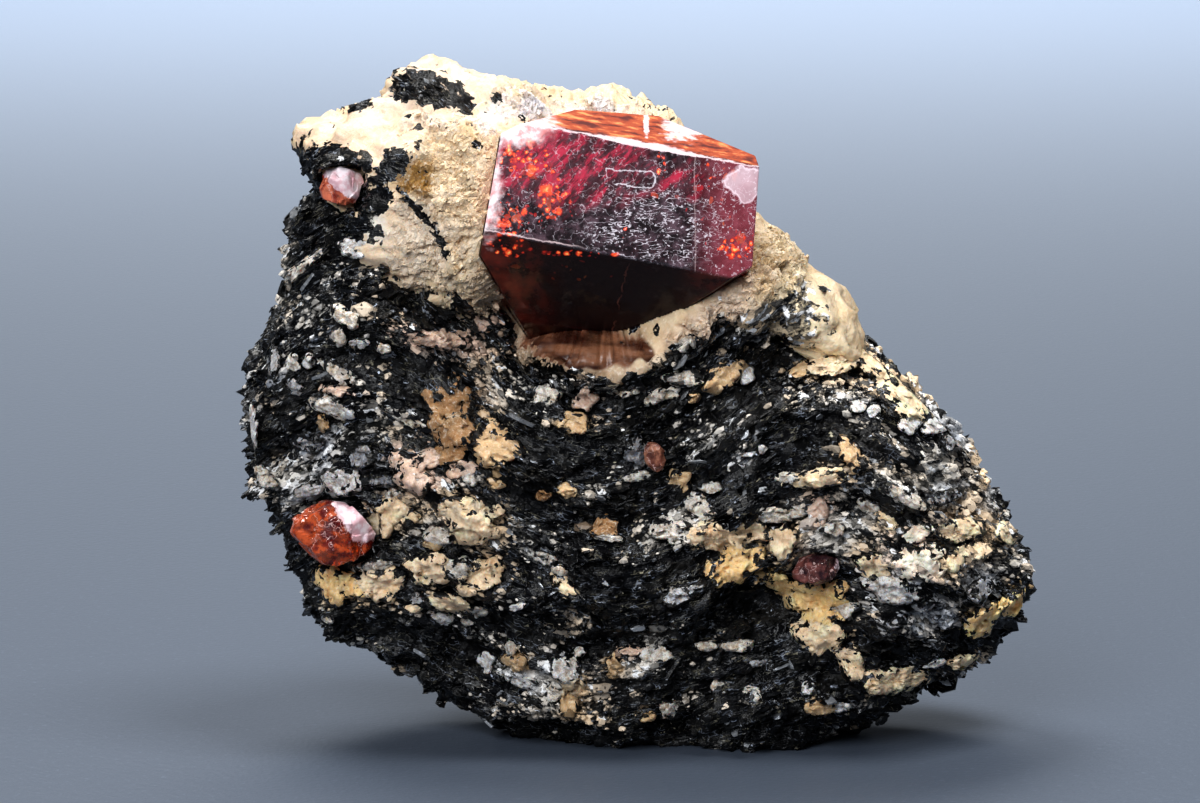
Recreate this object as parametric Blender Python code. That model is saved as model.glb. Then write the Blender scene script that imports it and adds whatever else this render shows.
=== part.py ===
"""Zircon on biotite, a hand specimen: dark foliated biotite rock with feldspar lenses, a feldspar
mass along its top, one large zircon crystal seated in that mass and four small ones lower down.

Lengths are in millimetres until a mesh is written, then metres. +X is right, -Y is the show side,
+Z is up. The origin is the centre of the flat cut that the specimen stands on."""

import math

import bmesh
import bpy
import numpy as np
from mathutils import Matrix, Vector

MM = 0.001
GAP = 0.3  # between one solid and the seat that holds it

# The rock: its outline seen from the front, as (x, z), and its bulge to the front and back.
ROCK_CENTRE = (-1.5, 22.9)
ROCK_OUTLINE = [
    (-12.0, 1.0), (-15.0, 2.6), (-18.0, 4.1), (-20.3, 5.6), (-23.3, 7.3), (-25.1, 9.2),
    (-26.0, 10.9), (-26.3, 13.1), (-27.4, 15.4), (-28.4, 17.3), (-30.0, 19.1), (-29.8, 21.4),
    (-30.2, 25.1), (-30.3, 27.4), (-28.4, 30.8), (-27.2, 33.8), (-27.4, 35.5), (-26.6, 38.3),
    (-25.3, 40.5), (-24.0, 43.0), (-22.0, 45.3), (-18.0, 46.4), (-14.0, 47.4), (-8.0, 47.0),
    (-4.0, 46.2), (0.0, 45.8), (3.0, 44.0), (6.0, 40.6), (8.5, 37.5), (12.0, 34.6),
    (15.0, 31.8), (17.7, 29.7), (20.3, 27.5), (23.1, 24.6), (25.3, 22.0), (27.4, 18.4),
    (28.9, 15.4), (30.2, 12.8), (29.9, 10.5), (27.9, 7.1), (25.9, 4.9), (22.9, 3.2),
    (19.5, 1.7), (15.8, -0.3), (13.5, -2.3), (5.0, -3.0), (-6.0, -2.6), (-8.6, -0.6),
]
ROCK_FRONT, ROCK_BACK = 12.0, 12.8

# Broad relief, as (x, z, half length, half width, turn in degrees, height): a hollow is negative.
FRONT_RELIEF = [
    (-11.5, 32.0, 5.0, 2.4, -48, -2.6), (-1.5, 20.8, 7.0, 1.5, 0, -1.6),
    (9.9, 11.2, 2.4, 2.2, 0, -3.4), (21.5, 17.5, 7.0, 6.5, -20, 3.2),
    (-17.0, 23.0, 8.0, 6.0, -15, 1.4), (2.6, 0.4, 2.8, 2.4, 0, -3.6),
    (-8.0, 12.0, 14.0, 2.2, 3, 1.2), (-8.0, 7.5, 16.0, 3.2, 3, -1.6),
    (5.5, 24.5, 5.0, 4.0, -30, 1.3), (-27.0, 27.0, 2.8, 6.0, 0, 1.2),
    (15.5, 24.0, 5.0, 2.6, -38, 1.6), (-3.0, 26.0, 4.5, 5.0, 0, -1.6),
]
BACK_RELIEF = [
    (-14.0, 34.0, 8.0, 6.0, 20, 2.0), (8.0, 27.0, 9.0, 4.0, -35, -2.6),
    (-8.0, 16.0, 12.0, 5.0, 8, 1.8), (17.0, 13.0, 7.0, 6.0, 0, 2.2),
    (-20.0, 24.0, 5.0, 7.0, 0, -1.8), (2.0, 8.0, 6.0, 4.0, 0, -1.5),
]
LEDGE_STEP, LEDGE_HEIGHT = 5.2, 1.1  # coarse layers of the rock that stand out as ledges

# The rock has broken away in front of the large crystal, up to these lines round it in the front
# view: (direction in degrees, distance from the crystal's centre).
SOCKET_LINES = [(190, 9.85), (208, 9.56), (260, 9.1), (-53, 7.2), (-4, 9.7)]
SOCKET_FLOOR, SOCKET_RISE = 6.0, 3.8  # its depth from the rock's middle plane, and its wall's width

# Feldspar lenses in the front of the rock, as (x, z, half length, half height, turn, stand-out).
LENSES = [
    (-12.7, 17.9, 2.6, 1.3, 0, 0.9), (-18.6, 17.9, 1.5, 0.9, 25, 0.7),
    (-20.0, 12.7, 3.3, 1.2, 0, 0.9), (-13.4, 14.1, 3.3, 1.0, 0, 0.8),
    (-14.7, 11.4, 3.0, 0.9, -25, 0.7), (-14.0, 25.9, 1.2, 2.0, 0, 0.7),
    (-10.3, 23.7, 1.3, 1.3, 0, 0.7), (-5.0, 5.0, 1.5, 1.9, 0, 0.8),
    (7.4, 17.1, 3.5, 1.6, 15, 1.2), (13.4, 11.0, 2.3, 2.1, 0, 1.3),
    (18.2, 5.7, 3.1, 1.0, -8, 0.8), (26.6, 10.4, 2.5, 1.4, 15, 0.8),
    (19.6, 14.8, 3.6, 2.0, 0, 0.9), (12.9, 21.8, 2.2, 0.8, 0, 0.7),
    (18.4, 25.9, 2.7, 1.4, -45, 0.8), (-21.3, 20.0, 1.6, 1.2, 0, 0.8),
]

# The feldspar mass, as lobes (x, y, z, three half axes, turn about Y in degrees).
CAP_CENTRE = (-2.5, -3.0, 38.0)
CAP_LOBES = [
    (-21.2, -1.5, 44.4, 4.2, 6.0, 3.2, 0), (-15.6, -1.0, 48.0, 3.3, 5.0, 3.2, 0),
    (-14.5, -3.5, 42.5, 8.4, 8.0, 5.8, 0), (-18.0, -7.0, 38.2, 3.4, 3.6, 3.4, 0),
    (-13.2, -6.0, 38.6, 4.0, 6.4, 6.0, 0), (-3.0, 2.2, 45.6, 7.0, 4.4, 3.0, 8),
    (-1.5, 0.0, 36.0, 11.0, 7.5, 8.6, 0), (3.8, -5.2, 32.6, 7.4, 7.0, 2.8, -37),
    (12.8, -2.8, 32.0, 4.6, 5.6, 2.8, 38), (9.0, -3.6, 34.2, 2.8, 7.0, 3.4, 10),
    (-3.8, -4.6, 29.4, 5.2, 6.2, 2.2, 8), (-11.0, -1.5, 46.7, 3.3, 5.0, 3.0, 0),
]

# The large crystal: its c axis lies 10.5 degrees below +X. Each face is given by its angle round
# that axis (0 faces the front, 90 up), its lean towards the axis's right end, and its distance.
ZIRCON_CENTRE, ZIRCON_AXIS_TILT = (-1.53, -5.5, 38.84), -10.5
ZIRCON_FACES = [
    (12, 0, 7.94), (12, 6, 8.40), (80, 0, 8.02), (-37, 0, 7.24), (-52, 1, 7.95), (-96, 0, 8.90),
    (112, -12, 8.45), (115, 25.5, 8.56), (102, -34, 9.33), (70, -40, 12.36), (165, 0, 7.20),
    (-142, 0, 7.40), (134, 82.5, 8.97), (-76, 41, 7.83), (-78, -89.5, 9.85), (-80, -47, 9.95),
]

# Small crystals: centre, three half sizes, turn about Y, and how far the corners are cut back.
SMALL_ZIRCONS = {
    "zircon_lower_left": ((-22.6, -9.6, 16.9), (3.3, 2.2, 2.4), -12, 0.80),
    "zircon_upper_left": ((-22.0, -6.6, 42.2), (1.7, 1.4, 1.5), 20, 0.82),
    "zircon_centre": ((1.0, -11.2, 22.8), (0.8, 0.8, 1.1), 10, 0.85),
    "zircon_right": ((12.8, -11.8, 14.6), (1.8, 1.4, 1.1), 15, 0.85),
}


def outline_polar():
    """The rock's outline as sorted angles and radii about its centre, closed at both ends."""
    offset = np.array(ROCK_OUTLINE) - ROCK_CENTRE
    angle = np.arctan2(offset[:, 1], offset[:, 0])
    order = np.argsort(angle)
    angle, radius = angle[order], np.hypot(*offset[order].T)
    turn = 2 * math.pi
    angle = np.concatenate([angle[-1:] - turn, angle, angle[:1] + turn])
    return angle, np.concatenate([radius[-1:], radius, radius[:1]])


def waves(points, wavelength, seed, count=9):
    """A smooth irregular field between about -1 and 1: sine waves in seeded directions."""
    rng = np.random.default_rng(seed)
    ways = rng.normal(size=(count, 3))
    ways /= np.linalg.norm(ways, axis=1, keepdims=True)
    lengths = wavelength * rng.uniform(0.7, 1.4, count)
    phase = rng.uniform(0, 2 * math.pi, count)
    return np.sin(points @ (ways * (2 * math.pi / lengths)[:, None]).T + phase).sum(1) / math.sqrt(count)


def layer_height(x, z):
    """Which layer of the folded rock a point is in: layers crest at x = 14 and sag at x = -3."""
    fold = 1.0 + 3.5 * np.clip(z / 30, 0, 1.2)
    return z - fold * np.cos(2 * math.pi * (x - 14) / 34)


def relief(x, z, features):
    total = np.zeros_like(x)
    for fx, fz, long, wide, turn, height in features:
        c, s = math.cos(math.radians(turn)), math.sin(math.radians(turn))
        along, across = (x - fx) * c + (z - fz) * s, -(x - fx) * s + (z - fz) * c
        total += height * np.exp(-((along / long) ** 2) - (across / wide) ** 2)
    return total


def socket_limit(x, z):
    """How far forward the rock may stand near the large crystal: low inside its outline, then a
    wall that rises outside it."""
    out = np.full_like(x, -99.0)
    for direction, distance in SOCKET_LINES:
        turn = math.radians(direction)
        away = (x - ZIRCON_CENTRE[0]) * math.cos(turn) + (z - ZIRCON_CENTRE[2]) * math.sin(turn)
        out = np.maximum(out, away - distance)
    rise = np.clip(out / SOCKET_RISE, 0, 1)
    return SOCKET_FLOOR + 14 * rise * rise * (3 - 2 * rise)


def rock_surface(way):
    """Maps unit vectors to the rock's skin: across, the outline scaled; through, a pillow whose
    section is a superellipse of powers 3 and 2; then relief, ledges and roughness off the rim."""
    side = np.hypot(way[:, 0], way[:, 2])
    angle = np.arctan2(way[:, 2], way[:, 0])
    across = side**0.85
    reach = np.interp(angle, *outline_polar()) * across
    x = ROCK_CENTRE[0] + reach * np.cos(angle)
    z = ROCK_CENTRE[1] + reach * np.sin(angle)
    front = way[:, 1] < 0
    depth = np.where(front, ROCK_FRONT, ROCK_BACK)
    through = np.sqrt(np.clip(1 - across**3, 0, 1))
    inner = np.clip(through * 1.3, 0, 1) ** 2
    bump = np.where(front, relief(x, z, FRONT_RELIEF), relief(x, z, BACK_RELIEF))
    layer = layer_height(x, z) / LEDGE_STEP
    bump += LEDGE_HEIGHT * np.abs(2 * (layer - np.floor(layer + 0.5))) ** 1.5
    flat = np.stack([x, np.where(front, -depth, depth) * through, z], 1)
    bump += 0.55 * waves(flat, 9.0, 3) + 0.32 * waves(flat, 4.2, 4)
    flat[:, 1] += np.where(front, -1, 1) * bump * inner
    flat[:, 1] = np.maximum(flat[:, 1], -socket_limit(x, z))
    flat[:, 1] += 1.1 * waves(np.stack([x, 0 * x, z], 1), 17.0, 5)
    notch = -0.05 * np.abs(waves(flat, 8.0, 6)) * np.clip(through * 2.5, 0, 1) * (1 - inner * 0.7)
    flat[:, 0] += (x - ROCK_CENTRE[0]) * notch
    flat[:, 2] += (z - ROCK_CENTRE[1]) * notch
    return flat


def lobe_field(points):
    """How deep each point is in the smooth union of the cap's lobes, in rough millimetres."""
    total = np.zeros(len(points))
    for x, y, z, a, b, c, turn in CAP_LOBES:
        co, si = math.cos(math.radians(turn)), math.sin(math.radians(turn))
        dx, dy, dz = (points - (x, y, z)).T
        size = np.sqrt(((dx * co - dz * si) / a) ** 2 + (dy / b) ** 2 + ((dx * si + dz * co) / c) ** 2)
        total += np.exp(np.clip((1 - size) * min(a, b, c) / 0.8, -40, 40))
    return 0.8 * np.log(total)


def cap_surface(way):
    """Maps unit vectors to the feldspar's skin: the farthest point of the lobes along each ray."""
    steps = np.linspace(2.0, 27.0, 161)
    reach = np.full(len(way), steps[0])
    before = lobe_field(np.array(CAP_CENTRE) + way * steps[0])
    for low, high in zip(steps[:-1], steps[1:]):
        after = lobe_field(np.array(CAP_CENTRE) + way * high)
        leaves = (before > 0) & (after <= 0)
        share = before / np.where(leaves, before - after, 1)
        reach = np.where(leaves, low + (high - low) * share, reach)
        before = after
    skin = np.array(CAP_CENTRE) + way * reach[:, None]
    reach += 0.30 * waves(skin, 5.0, 11) + 0.22 * waves(skin, 2.6, 12)
    return np.array(CAP_CENTRE) + way * reach[:, None]


def material(name, colour, roughness, **values):
    made = bpy.data.materials.new(name)
    made.use_nodes = True
    made.diffuse_color = (*colour, 1.0)
    shader = made.node_tree.nodes["Principled BSDF"]
    shader.inputs["Base Color"].default_value = (*colour, 1.0)
    shader.inputs["Roughness"].default_value = roughness
    for socket, value in values.items():
        shader.inputs[socket.replace("_", " ")].default_value = value
    return made


def new_object(name, mesh_maker, collection, look=None):
    """An object whose mesh is filled by mesh_maker in millimetres and scaled to metres."""
    mesh = bpy.data.meshes.new(name)
    bm = bmesh.new()
    mesh_maker(bm)
    bmesh.ops.scale(bm, vec=(MM, MM, MM), verts=bm.verts)
    bmesh.ops.recalc_face_normals(bm, faces=bm.faces)
    bm.to_mesh(mesh)
    bm.free()
    obj = bpy.data.objects.new(name, mesh)
    if look:
        mesh.materials.append(look)
    else:
        obj.hide_render = True
        obj.display_type = "WIRE"
    collection.objects.link(obj)
    return obj


def moulded_sphere(bm, subdivisions, surface):
    """An icosphere whose vertices are moved by surface(unit vectors)."""
    bmesh.ops.create_icosphere(bm, subdivisions=subdivisions, radius=1)
    way = np.array([v.co.normalized() for v in bm.verts])
    for vert, place in zip(bm.verts, surface(way)):
        vert.co = Vector(place.tolist())


def rock_mesh(bm):
    moulded_sphere(bm, 5, rock_surface)


def ground_mesh(bm):
    """The block that cuts the rock off flat at z = 0."""
    bmesh.ops.create_cube(bm, size=80)
    bmesh.ops.translate(bm, vec=(0, 0, -40), verts=bm.verts)


def lens_mesh(bm, lens):
    """One feldspar lens: a small ellipsoid set in the rock's front, its rim uneven."""
    x, z, long, high, turn, out = lens
    bmesh.ops.create_icosphere(bm, subdivisions=2, radius=1)
    near = ((np.array([x, z]) - ROCK_CENTRE))
    angle = math.atan2(near[1], near[0])
    across = np.hypot(*near) / np.interp(angle, *outline_polar())
    y = rock_surface(front_way(angle, across))[0, 1]
    place = Matrix.Translation((x, y + 1.6 - out, z)) @ Matrix.Rotation(math.radians(-turn), 4, "Y")
    rough = waves(np.array([v.co[:] for v in bm.verts]), 1.3, int(abs(x * 10)))
    for vert, wave in zip(bm.verts, rough):
        vert.co = place @ (Vector((vert.co.x * long, vert.co.y * 1.6, vert.co.z * high)) * (1 + 0.12 * wave))


def front_way(angle, across):
    """The unit vector that rock_surface sends to this angle and share of the outline's radius."""
    side = across ** (1 / 0.85)
    way = (side * math.cos(angle), -math.sqrt(max(1 - side * side, 0)), side * math.sin(angle))
    return np.array([way])


def cut_by_planes(bm, planes, clearance):
    """Cuts a mesh about the origin down to the space behind each plane (normal, distance)."""
    for normal, distance in planes:
        whole = bm.verts[:] + bm.edges[:] + bm.faces[:]
        cut = Vector(normal).normalized()
        bmesh.ops.bisect_plane(
            bm, geom=whole, plane_co=cut * (distance + clearance), plane_no=cut, clear_outer=True
        )
        bmesh.ops.holes_fill(bm, edges=[e for e in bm.edges if e.is_boundary], sides=0)


def zircon_planes():
    tilt = math.radians(ZIRCON_AXIS_TILT)
    axis = Vector((math.cos(tilt), 0, math.sin(tilt)))
    up = Vector((-math.sin(tilt), 0, math.cos(tilt)))
    front = Vector((0, -1, 0))
    planes = []
    for angle, lean, distance in ZIRCON_FACES:
        angle, lean = math.radians(angle), math.radians(lean)
        across = front * math.cos(angle) + up * math.sin(angle)
        planes.append((across * math.cos(lean) + axis * math.sin(lean), distance))
    return planes


def large_zircon_mesh(bm, clearance=0.0):
    bmesh.ops.create_cube(bm, size=60)
    cut_by_planes(bm, zircon_planes(), clearance)
    bmesh.ops.translate(bm, vec=ZIRCON_CENTRE, verts=bm.verts)


def small_zircon_mesh(bm, centre, half, turn, cut, clearance=0.0):
    """A stubby four-sided prism with a pyramid at each end, its edges cut back."""
    bmesh.ops.create_cube(bm, size=60)
    planes = [((1, 0, 0), half[0]), ((-1, 0, 0), half[0]), ((0, 1, 0), half[1])]
    planes += [((0, -1, 0), half[1]), ((0, 0, 1), half[2]), ((0, 0, -1), half[2])]
    for sx in (-1, 1):
        for other in ((0, 1), (0, -1), (1, 0), (-1, 0)):
            ends = Vector((sx / half[0], other[0] / half[1], other[1] / half[2]))
            planes.append((ends, cut * 1.55 / ends.length))
    for sy in (-1, 1):
        for sz in (-1, 1):
            edge = Vector((0, sy / half[1], sz / half[2]))
            planes.append((edge, cut * 1.85 / edge.length))
    cut_by_planes(bm, planes, clearance)
    bmesh.ops.rotate(bm, cent=(0, 0, 0), matrix=Matrix.Rotation(math.radians(-turn), 3, "Y"), verts=bm.verts)
    bmesh.ops.rotate(bm, cent=(0, 0, 0), matrix=Matrix.Rotation(math.radians(18), 3, "Z"), verts=bm.verts)
    bmesh.ops.translate(bm, vec=centre, verts=bm.verts)


def boolean(obj, name, operation, others):
    cut = obj.modifiers.new(name, "BOOLEAN")
    cut.operation, cut.solver, cut.operand_type = operation, "EXACT", "COLLECTION"
    cut.collection = others
    cut.material_mode = "TRANSFER"
    cut.use_self = operation == "UNION"


def bake_largest(obj):
    """Applies an object's modifiers and keeps only its largest connected body."""
    graph = bpy.context.evaluated_depsgraph_get()
    mesh = bpy.data.meshes.new_from_object(obj.evaluated_get(graph))
    obj.modifiers.clear()
    obj.data = mesh
    bm = bmesh.new()
    bm.from_mesh(mesh)
    bmesh.ops.remove_doubles(bm, verts=bm.verts, dist=1e-6)
    bmesh.ops.dissolve_degenerate(bm, edges=bm.edges, dist=1e-6)
    bodies, left = [], set(bm.verts)
    while left:
        body, queue = set(), [left.pop()]
        while queue:
            vert = queue.pop()
            body.add(vert)
            for edge in vert.link_edges:
                other = edge.other_vert(vert)
                if other in left:
                    left.remove(other)
                    queue.append(other)
        bodies.append(body)
    bodies.sort(key=len, reverse=True)
    bmesh.ops.delete(bm, geom=[v for body in bodies[1:] for v in body], context="VERTS")
    bm.to_mesh(mesh)
    bm.free()


def new_collection(name, hidden=False):
    made = bpy.data.collections.new(name)
    made.hide_render = hidden
    bpy.context.scene.collection.children.link(made)
    return made


def build():
    for obj in list(bpy.data.objects):
        bpy.data.objects.remove(obj, do_unlink=True)
    parts = new_collection("zircon_on_biotite")
    lenses = new_collection("feldspar_lenses", hidden=True)
    seats = new_collection("crystal_seats", hidden=True)
    cap_bed = new_collection("cap_bed", hidden=True)
    ground = new_collection("ground", hidden=True)

    biotite = material("biotite", (0.045, 0.043, 0.048), 0.45)
    feldspar = material("feldspar", (0.72, 0.62, 0.47), 0.6)
    red = material("zircon", (0.35, 0.03, 0.02), 0.08, Transmission_Weight=1.0, IOR=1.93)

    for number, lens in enumerate(LENSES):
        new_object(f"lens_{number}", lambda bm, lens=lens: lens_mesh(bm, lens), lenses, feldspar).hide_render = True
    new_object("seat_zircon_main", lambda bm: large_zircon_mesh(bm, GAP), seats)
    new_object("zircon_main", large_zircon_mesh, parts, red)
    for name, shape in SMALL_ZIRCONS.items():
        new_object("seat_" + name, lambda bm, s=shape: small_zircon_mesh(bm, *s, GAP), seats)
        new_object(name, lambda bm, s=shape: small_zircon_mesh(bm, *s), parts, red)

    cap = new_object("feldspar_cap", lambda bm: moulded_sphere(bm, 5, cap_surface), parts, feldspar)
    soft = cap.modifiers.new("Soft", "SMOOTH")
    soft.factor, soft.iterations = 0.5, 2
    cap.modifiers.new("Coarser", "DECIMATE").ratio = 0.45
    rock = new_object("biotite_matrix", rock_mesh, parts, biotite)
    bed = new_object("bed_of_cap", rock_mesh, cap_bed)
    for obj in (rock, bed):
        obj.modifiers.new("Coarser", "DECIMATE").ratio = 0.8
    grow = bed.modifiers.new("Gap", "DISPLACE")
    grow.strength, grow.mid_level = (GAP + 0.05) * MM, 0
    new_object("ground", ground_mesh, ground)
    boolean(rock, "Lenses", "UNION", lenses)
    boolean(rock, "Flat base", "DIFFERENCE", ground)
    boolean(rock, "Crystal seats", "DIFFERENCE", seats)
    boolean(cap, "Bed", "DIFFERENCE", cap_bed)
    boolean(cap, "Crystal seats", "DIFFERENCE", seats)
    bake_largest(rock)
    bake_largest(cap)
    for obj in (rock, cap):
        obj.data.shade_smooth()
        obj.data.set_sharp_from_angle(angle=math.radians(35))


build()
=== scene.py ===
"""Zircon on biotite, a hand specimen: the looks of its rock, feldspar and crystals.

Shapes are worked out in millimetres and written in metres. +X is right, -Y is the show side, +Z
is up, and the specimen stands on z = 0."""

import functools
import math

import bmesh
import bpy
import numpy as np
from bpy.props import FloatProperty, FloatVectorProperty, IntProperty, PointerProperty
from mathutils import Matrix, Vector


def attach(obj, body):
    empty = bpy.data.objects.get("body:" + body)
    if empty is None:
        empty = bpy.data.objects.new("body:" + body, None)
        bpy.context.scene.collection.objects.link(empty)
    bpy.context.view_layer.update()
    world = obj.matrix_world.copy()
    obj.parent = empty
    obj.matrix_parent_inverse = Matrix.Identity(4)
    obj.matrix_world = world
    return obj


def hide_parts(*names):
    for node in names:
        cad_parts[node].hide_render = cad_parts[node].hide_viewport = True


bl_info = {
    "name": "Zircon on biotite specimen",
    "version": (1, 0, 0),
    "blender": (4, 5, 0),
    "location": "3D View > Sidebar > Specimen",
    "description": "Builds the rock, feldspar, crystals and stage of a mineral specimen",
    "category": "Add Mesh",
}

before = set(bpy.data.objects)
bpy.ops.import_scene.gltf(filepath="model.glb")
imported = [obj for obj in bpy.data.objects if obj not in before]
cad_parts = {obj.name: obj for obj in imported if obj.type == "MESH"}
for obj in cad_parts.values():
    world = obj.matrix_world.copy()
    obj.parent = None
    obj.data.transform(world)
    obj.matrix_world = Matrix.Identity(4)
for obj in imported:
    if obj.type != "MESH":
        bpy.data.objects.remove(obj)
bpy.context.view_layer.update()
MM = 0.001
ROOT = "root"

# ---------------------------------------------------------------- forms shared with the solids

# The rock's outline from the front, about its centre: x, z.
ROCK_CENTRE = (-1.5, 22.9)
ROCK_OUTLINE = [
    (-12.0, 1.0), (-15.0, 2.6), (-18.0, 4.1), (-20.3, 5.6), (-23.3, 7.3), (-25.1, 9.2),
    (-26.0, 10.9), (-26.3, 13.1), (-27.4, 15.4), (-28.4, 17.3), (-30.0, 19.1), (-29.8, 21.4),
    (-30.2, 25.1), (-30.3, 27.4), (-28.4, 30.8), (-27.2, 33.8), (-27.4, 35.5), (-26.6, 38.3),
    (-25.3, 40.5), (-24.0, 43.0), (-22.0, 45.3), (-18.0, 46.4), (-14.0, 47.4), (-8.0, 47.0),
    (-4.0, 46.2), (0.0, 45.8), (3.0, 44.0), (6.0, 40.6), (8.5, 37.5), (12.0, 34.6),
    (15.0, 31.8), (17.7, 29.7), (20.3, 27.5), (23.1, 24.6), (25.3, 22.0), (27.4, 18.4),
    (28.9, 15.4), (30.2, 12.8), (29.9, 10.5), (27.9, 7.1), (25.9, 4.9), (22.9, 3.2),
    (19.5, 1.7), (15.8, -0.3), (13.5, -2.3), (5.0, -3.0), (-6.0, -2.6), (-8.6, -0.6),
]
# How far the pillow swells to the front and to the back.
ROCK_FRONT, ROCK_BACK = 12.0, 12.8
# Broad relief, as (x, z, half length, half width, turn in degrees, height): a hollow is negative.
FRONT_RELIEF = [
    (-11.5, 32.0, 5.0, 2.4, -48, -2.6), (-1.5, 20.8, 7.0, 1.5, 0, -1.6),
    (9.9, 11.2, 2.4, 2.2, 0, -3.4), (21.5, 17.5, 7.0, 6.5, -20, 3.2),
    (-17.0, 23.0, 8.0, 6.0, -15, 1.4), (2.6, 0.4, 2.8, 2.4, 0, -3.6),
    (-8.0, 12.0, 14.0, 2.2, 3, 1.2), (-8.0, 7.5, 16.0, 3.2, 3, -1.6),
    (5.5, 24.5, 5.0, 4.0, -30, 1.3), (-27.0, 27.0, 2.8, 6.0, 0, 1.2),
    (15.5, 24.0, 5.0, 2.6, -38, 1.6), (-3.0, 26.0, 4.5, 5.0, 0, -1.6),
]
BACK_RELIEF = [
    (-14.0, 34.0, 8.0, 6.0, 20, 2.0), (8.0, 27.0, 9.0, 4.0, -35, -2.6),
    (-8.0, 16.0, 12.0, 5.0, 8, 1.8), (17.0, 13.0, 7.0, 6.0, 0, 2.2),
    (-20.0, 24.0, 5.0, 7.0, 0, -1.8), (2.0, 8.0, 6.0, 4.0, 0, -1.5),
]
# The layers' folds: where one crests, their wavelength, their height at the foot, how much that
# grows for each span of height, and how many spans it grows for.
FOLD_CREST, FOLD_LENGTH = 14, 34
FOLD_HEIGHT, FOLD_GROWTH, FOLD_SPAN, FOLD_SPANS = 1.0, 3.5, 30, 1.2
# The rock's broad ledges: their step across the layers, and how far they stand out.
LEDGE_STEP, LEDGE_HEIGHT = 5.2, 1.1
# The broken socket in front of the large crystal: its sides as (way in degrees, distance from the
# crystal's centre), how far forward its floor is, and the width of the slope up from it.
SOCKET_LINES = [(190, 9.85), (208, 9.56), (260, 9.1), (-53, 7.2), (-4, 9.7)]
SOCKET_FLOOR, SOCKET_RISE = 6.0, 3.8
# The centre that the cap's skin is measured from, and its lobes: x, y, z, half sizes, turn in degrees.
CAP_CENTRE = np.array([-2.5, -3.0, 38.0])
CAP_LOBES = [
    (-21.2, -1.5, 44.4, 4.2, 6.0, 3.2, 0), (-15.6, -1.0, 48.0, 3.3, 5.0, 3.2, 0),
    (-14.5, -3.5, 42.5, 8.4, 8.0, 5.8, 0), (-18.0, -7.0, 38.2, 3.4, 3.6, 3.4, 0),
    (-13.2, -6.0, 38.6, 4.0, 6.4, 6.0, 0), (-3.0, 2.2, 45.6, 7.0, 4.4, 3.0, 8),
    (-1.5, 0.0, 36.0, 11.0, 7.5, 8.6, 0), (3.8, -5.2, 32.6, 7.4, 7.0, 2.8, -37),
    (12.8, -2.8, 32.0, 4.6, 5.6, 2.8, 38), (9.0, -3.6, 34.2, 2.8, 7.0, 3.4, 10),
    (-3.8, -4.6, 29.4, 5.2, 6.2, 2.2, 8), (-11.0, -1.5, 46.7, 3.3, 5.0, 3.0, 0),
]
# The large crystal's faces: angle round its axis from the front, lean toward its right end, and
# distance from its centre.
ZIRCON_CENTRE, ZIRCON_AXIS_TILT = np.array([-1.53, -5.5, 38.84]), -10.5
ZIRCON_FACES = [
    (12, 0, 7.94), (12, 6, 8.40), (80, 0, 8.02), (-37, 0, 7.24), (-52, 1, 7.95), (-96, 0, 8.90),
    (112, -12, 8.45), (115, 25.5, 8.56), (102, -34, 9.33), (70, -40, 12.36), (165, 0, 7.20),
    (-142, 0, 7.40), (134, 82.5, 8.97), (-76, 41, 7.83), (-78, -89.5, 9.85), (-80, -47, 9.95),
]
SMALL_ZIRCONS = {  # centre and the radius of rock kept clear of it
    "zircon_lower_left": ((-22.6, -9.6, 16.9), (3.3, 2.2, 2.4)),
    "zircon_upper_left": ((-22.0, -6.6, 42.2), (1.7, 1.4, 1.5)),
    "zircon_centre": ((1.0, -11.2, 22.8), (0.8, 0.8, 1.1)),
    "zircon_right": ((12.8, -11.8, 14.6), (1.8, 1.4, 1.1)),
}
SEAT_GAP = 0.08


def waves(points, wavelength, seed, count=9):
    """A smooth irregular field between about -1 and 1: sine waves in seeded directions."""
    rng = np.random.default_rng(seed)
    ways = rng.normal(size=(count, 3))
    ways /= np.linalg.norm(ways, axis=1, keepdims=True)
    lengths = wavelength * rng.uniform(0.7, 1.4, count)
    phase = rng.uniform(0, 2 * math.pi, count)
    return np.sin(points @ (ways * (2 * math.pi / lengths)[:, None]).T + phase).sum(1) / math.sqrt(count)


def scramble(whole, seed):
    """A number from 0 to 1 for each row of whole numbers: their bits multiplied and folded."""
    big = np.uint64
    mixed = whole.astype(np.int64).astype(big) @ np.array([73856093, 19349663, 83492791], big)
    mixed = (mixed + big(seed * 97531 + 11)) * big(0x9E3779B97F4A7C15)
    mixed = (mixed ^ (mixed >> big(29))) * big(0xBF58476D1CE4E5B9)
    return (mixed >> big(40)).astype(float) / 2.0**24


def crystal_cells(points, size, seed):
    """Splits space into irregular cells about one jittered point per cube of this size. Gives for
    each point the way to its own cell's middle, the distance to the cell's edge, and a number
    from 0 to 1 that names the cell."""
    scaled = points / size
    home = np.floor(scaled)
    best = np.full(len(points), 9.0)
    second = np.full(len(points), 9.0)
    offset = np.zeros_like(points)
    name = np.zeros(len(points))
    for step in np.array(np.meshgrid(*[(-1, 0, 1)] * 3)).reshape(3, -1).T:
        cube = home + step
        middle = cube + np.stack([scramble(cube, seed + k) for k in (1, 2, 3)], 1)
        way = scaled - middle
        far = np.linalg.norm(way, axis=1)
        near = far < best
        second = np.where(near, best, np.minimum(second, far))
        offset[near] = way[near] * size
        name[near] = scramble(cube[near], seed + 4)
        best = np.minimum(best, far)
    return offset, (second - best) * size, name


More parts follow.
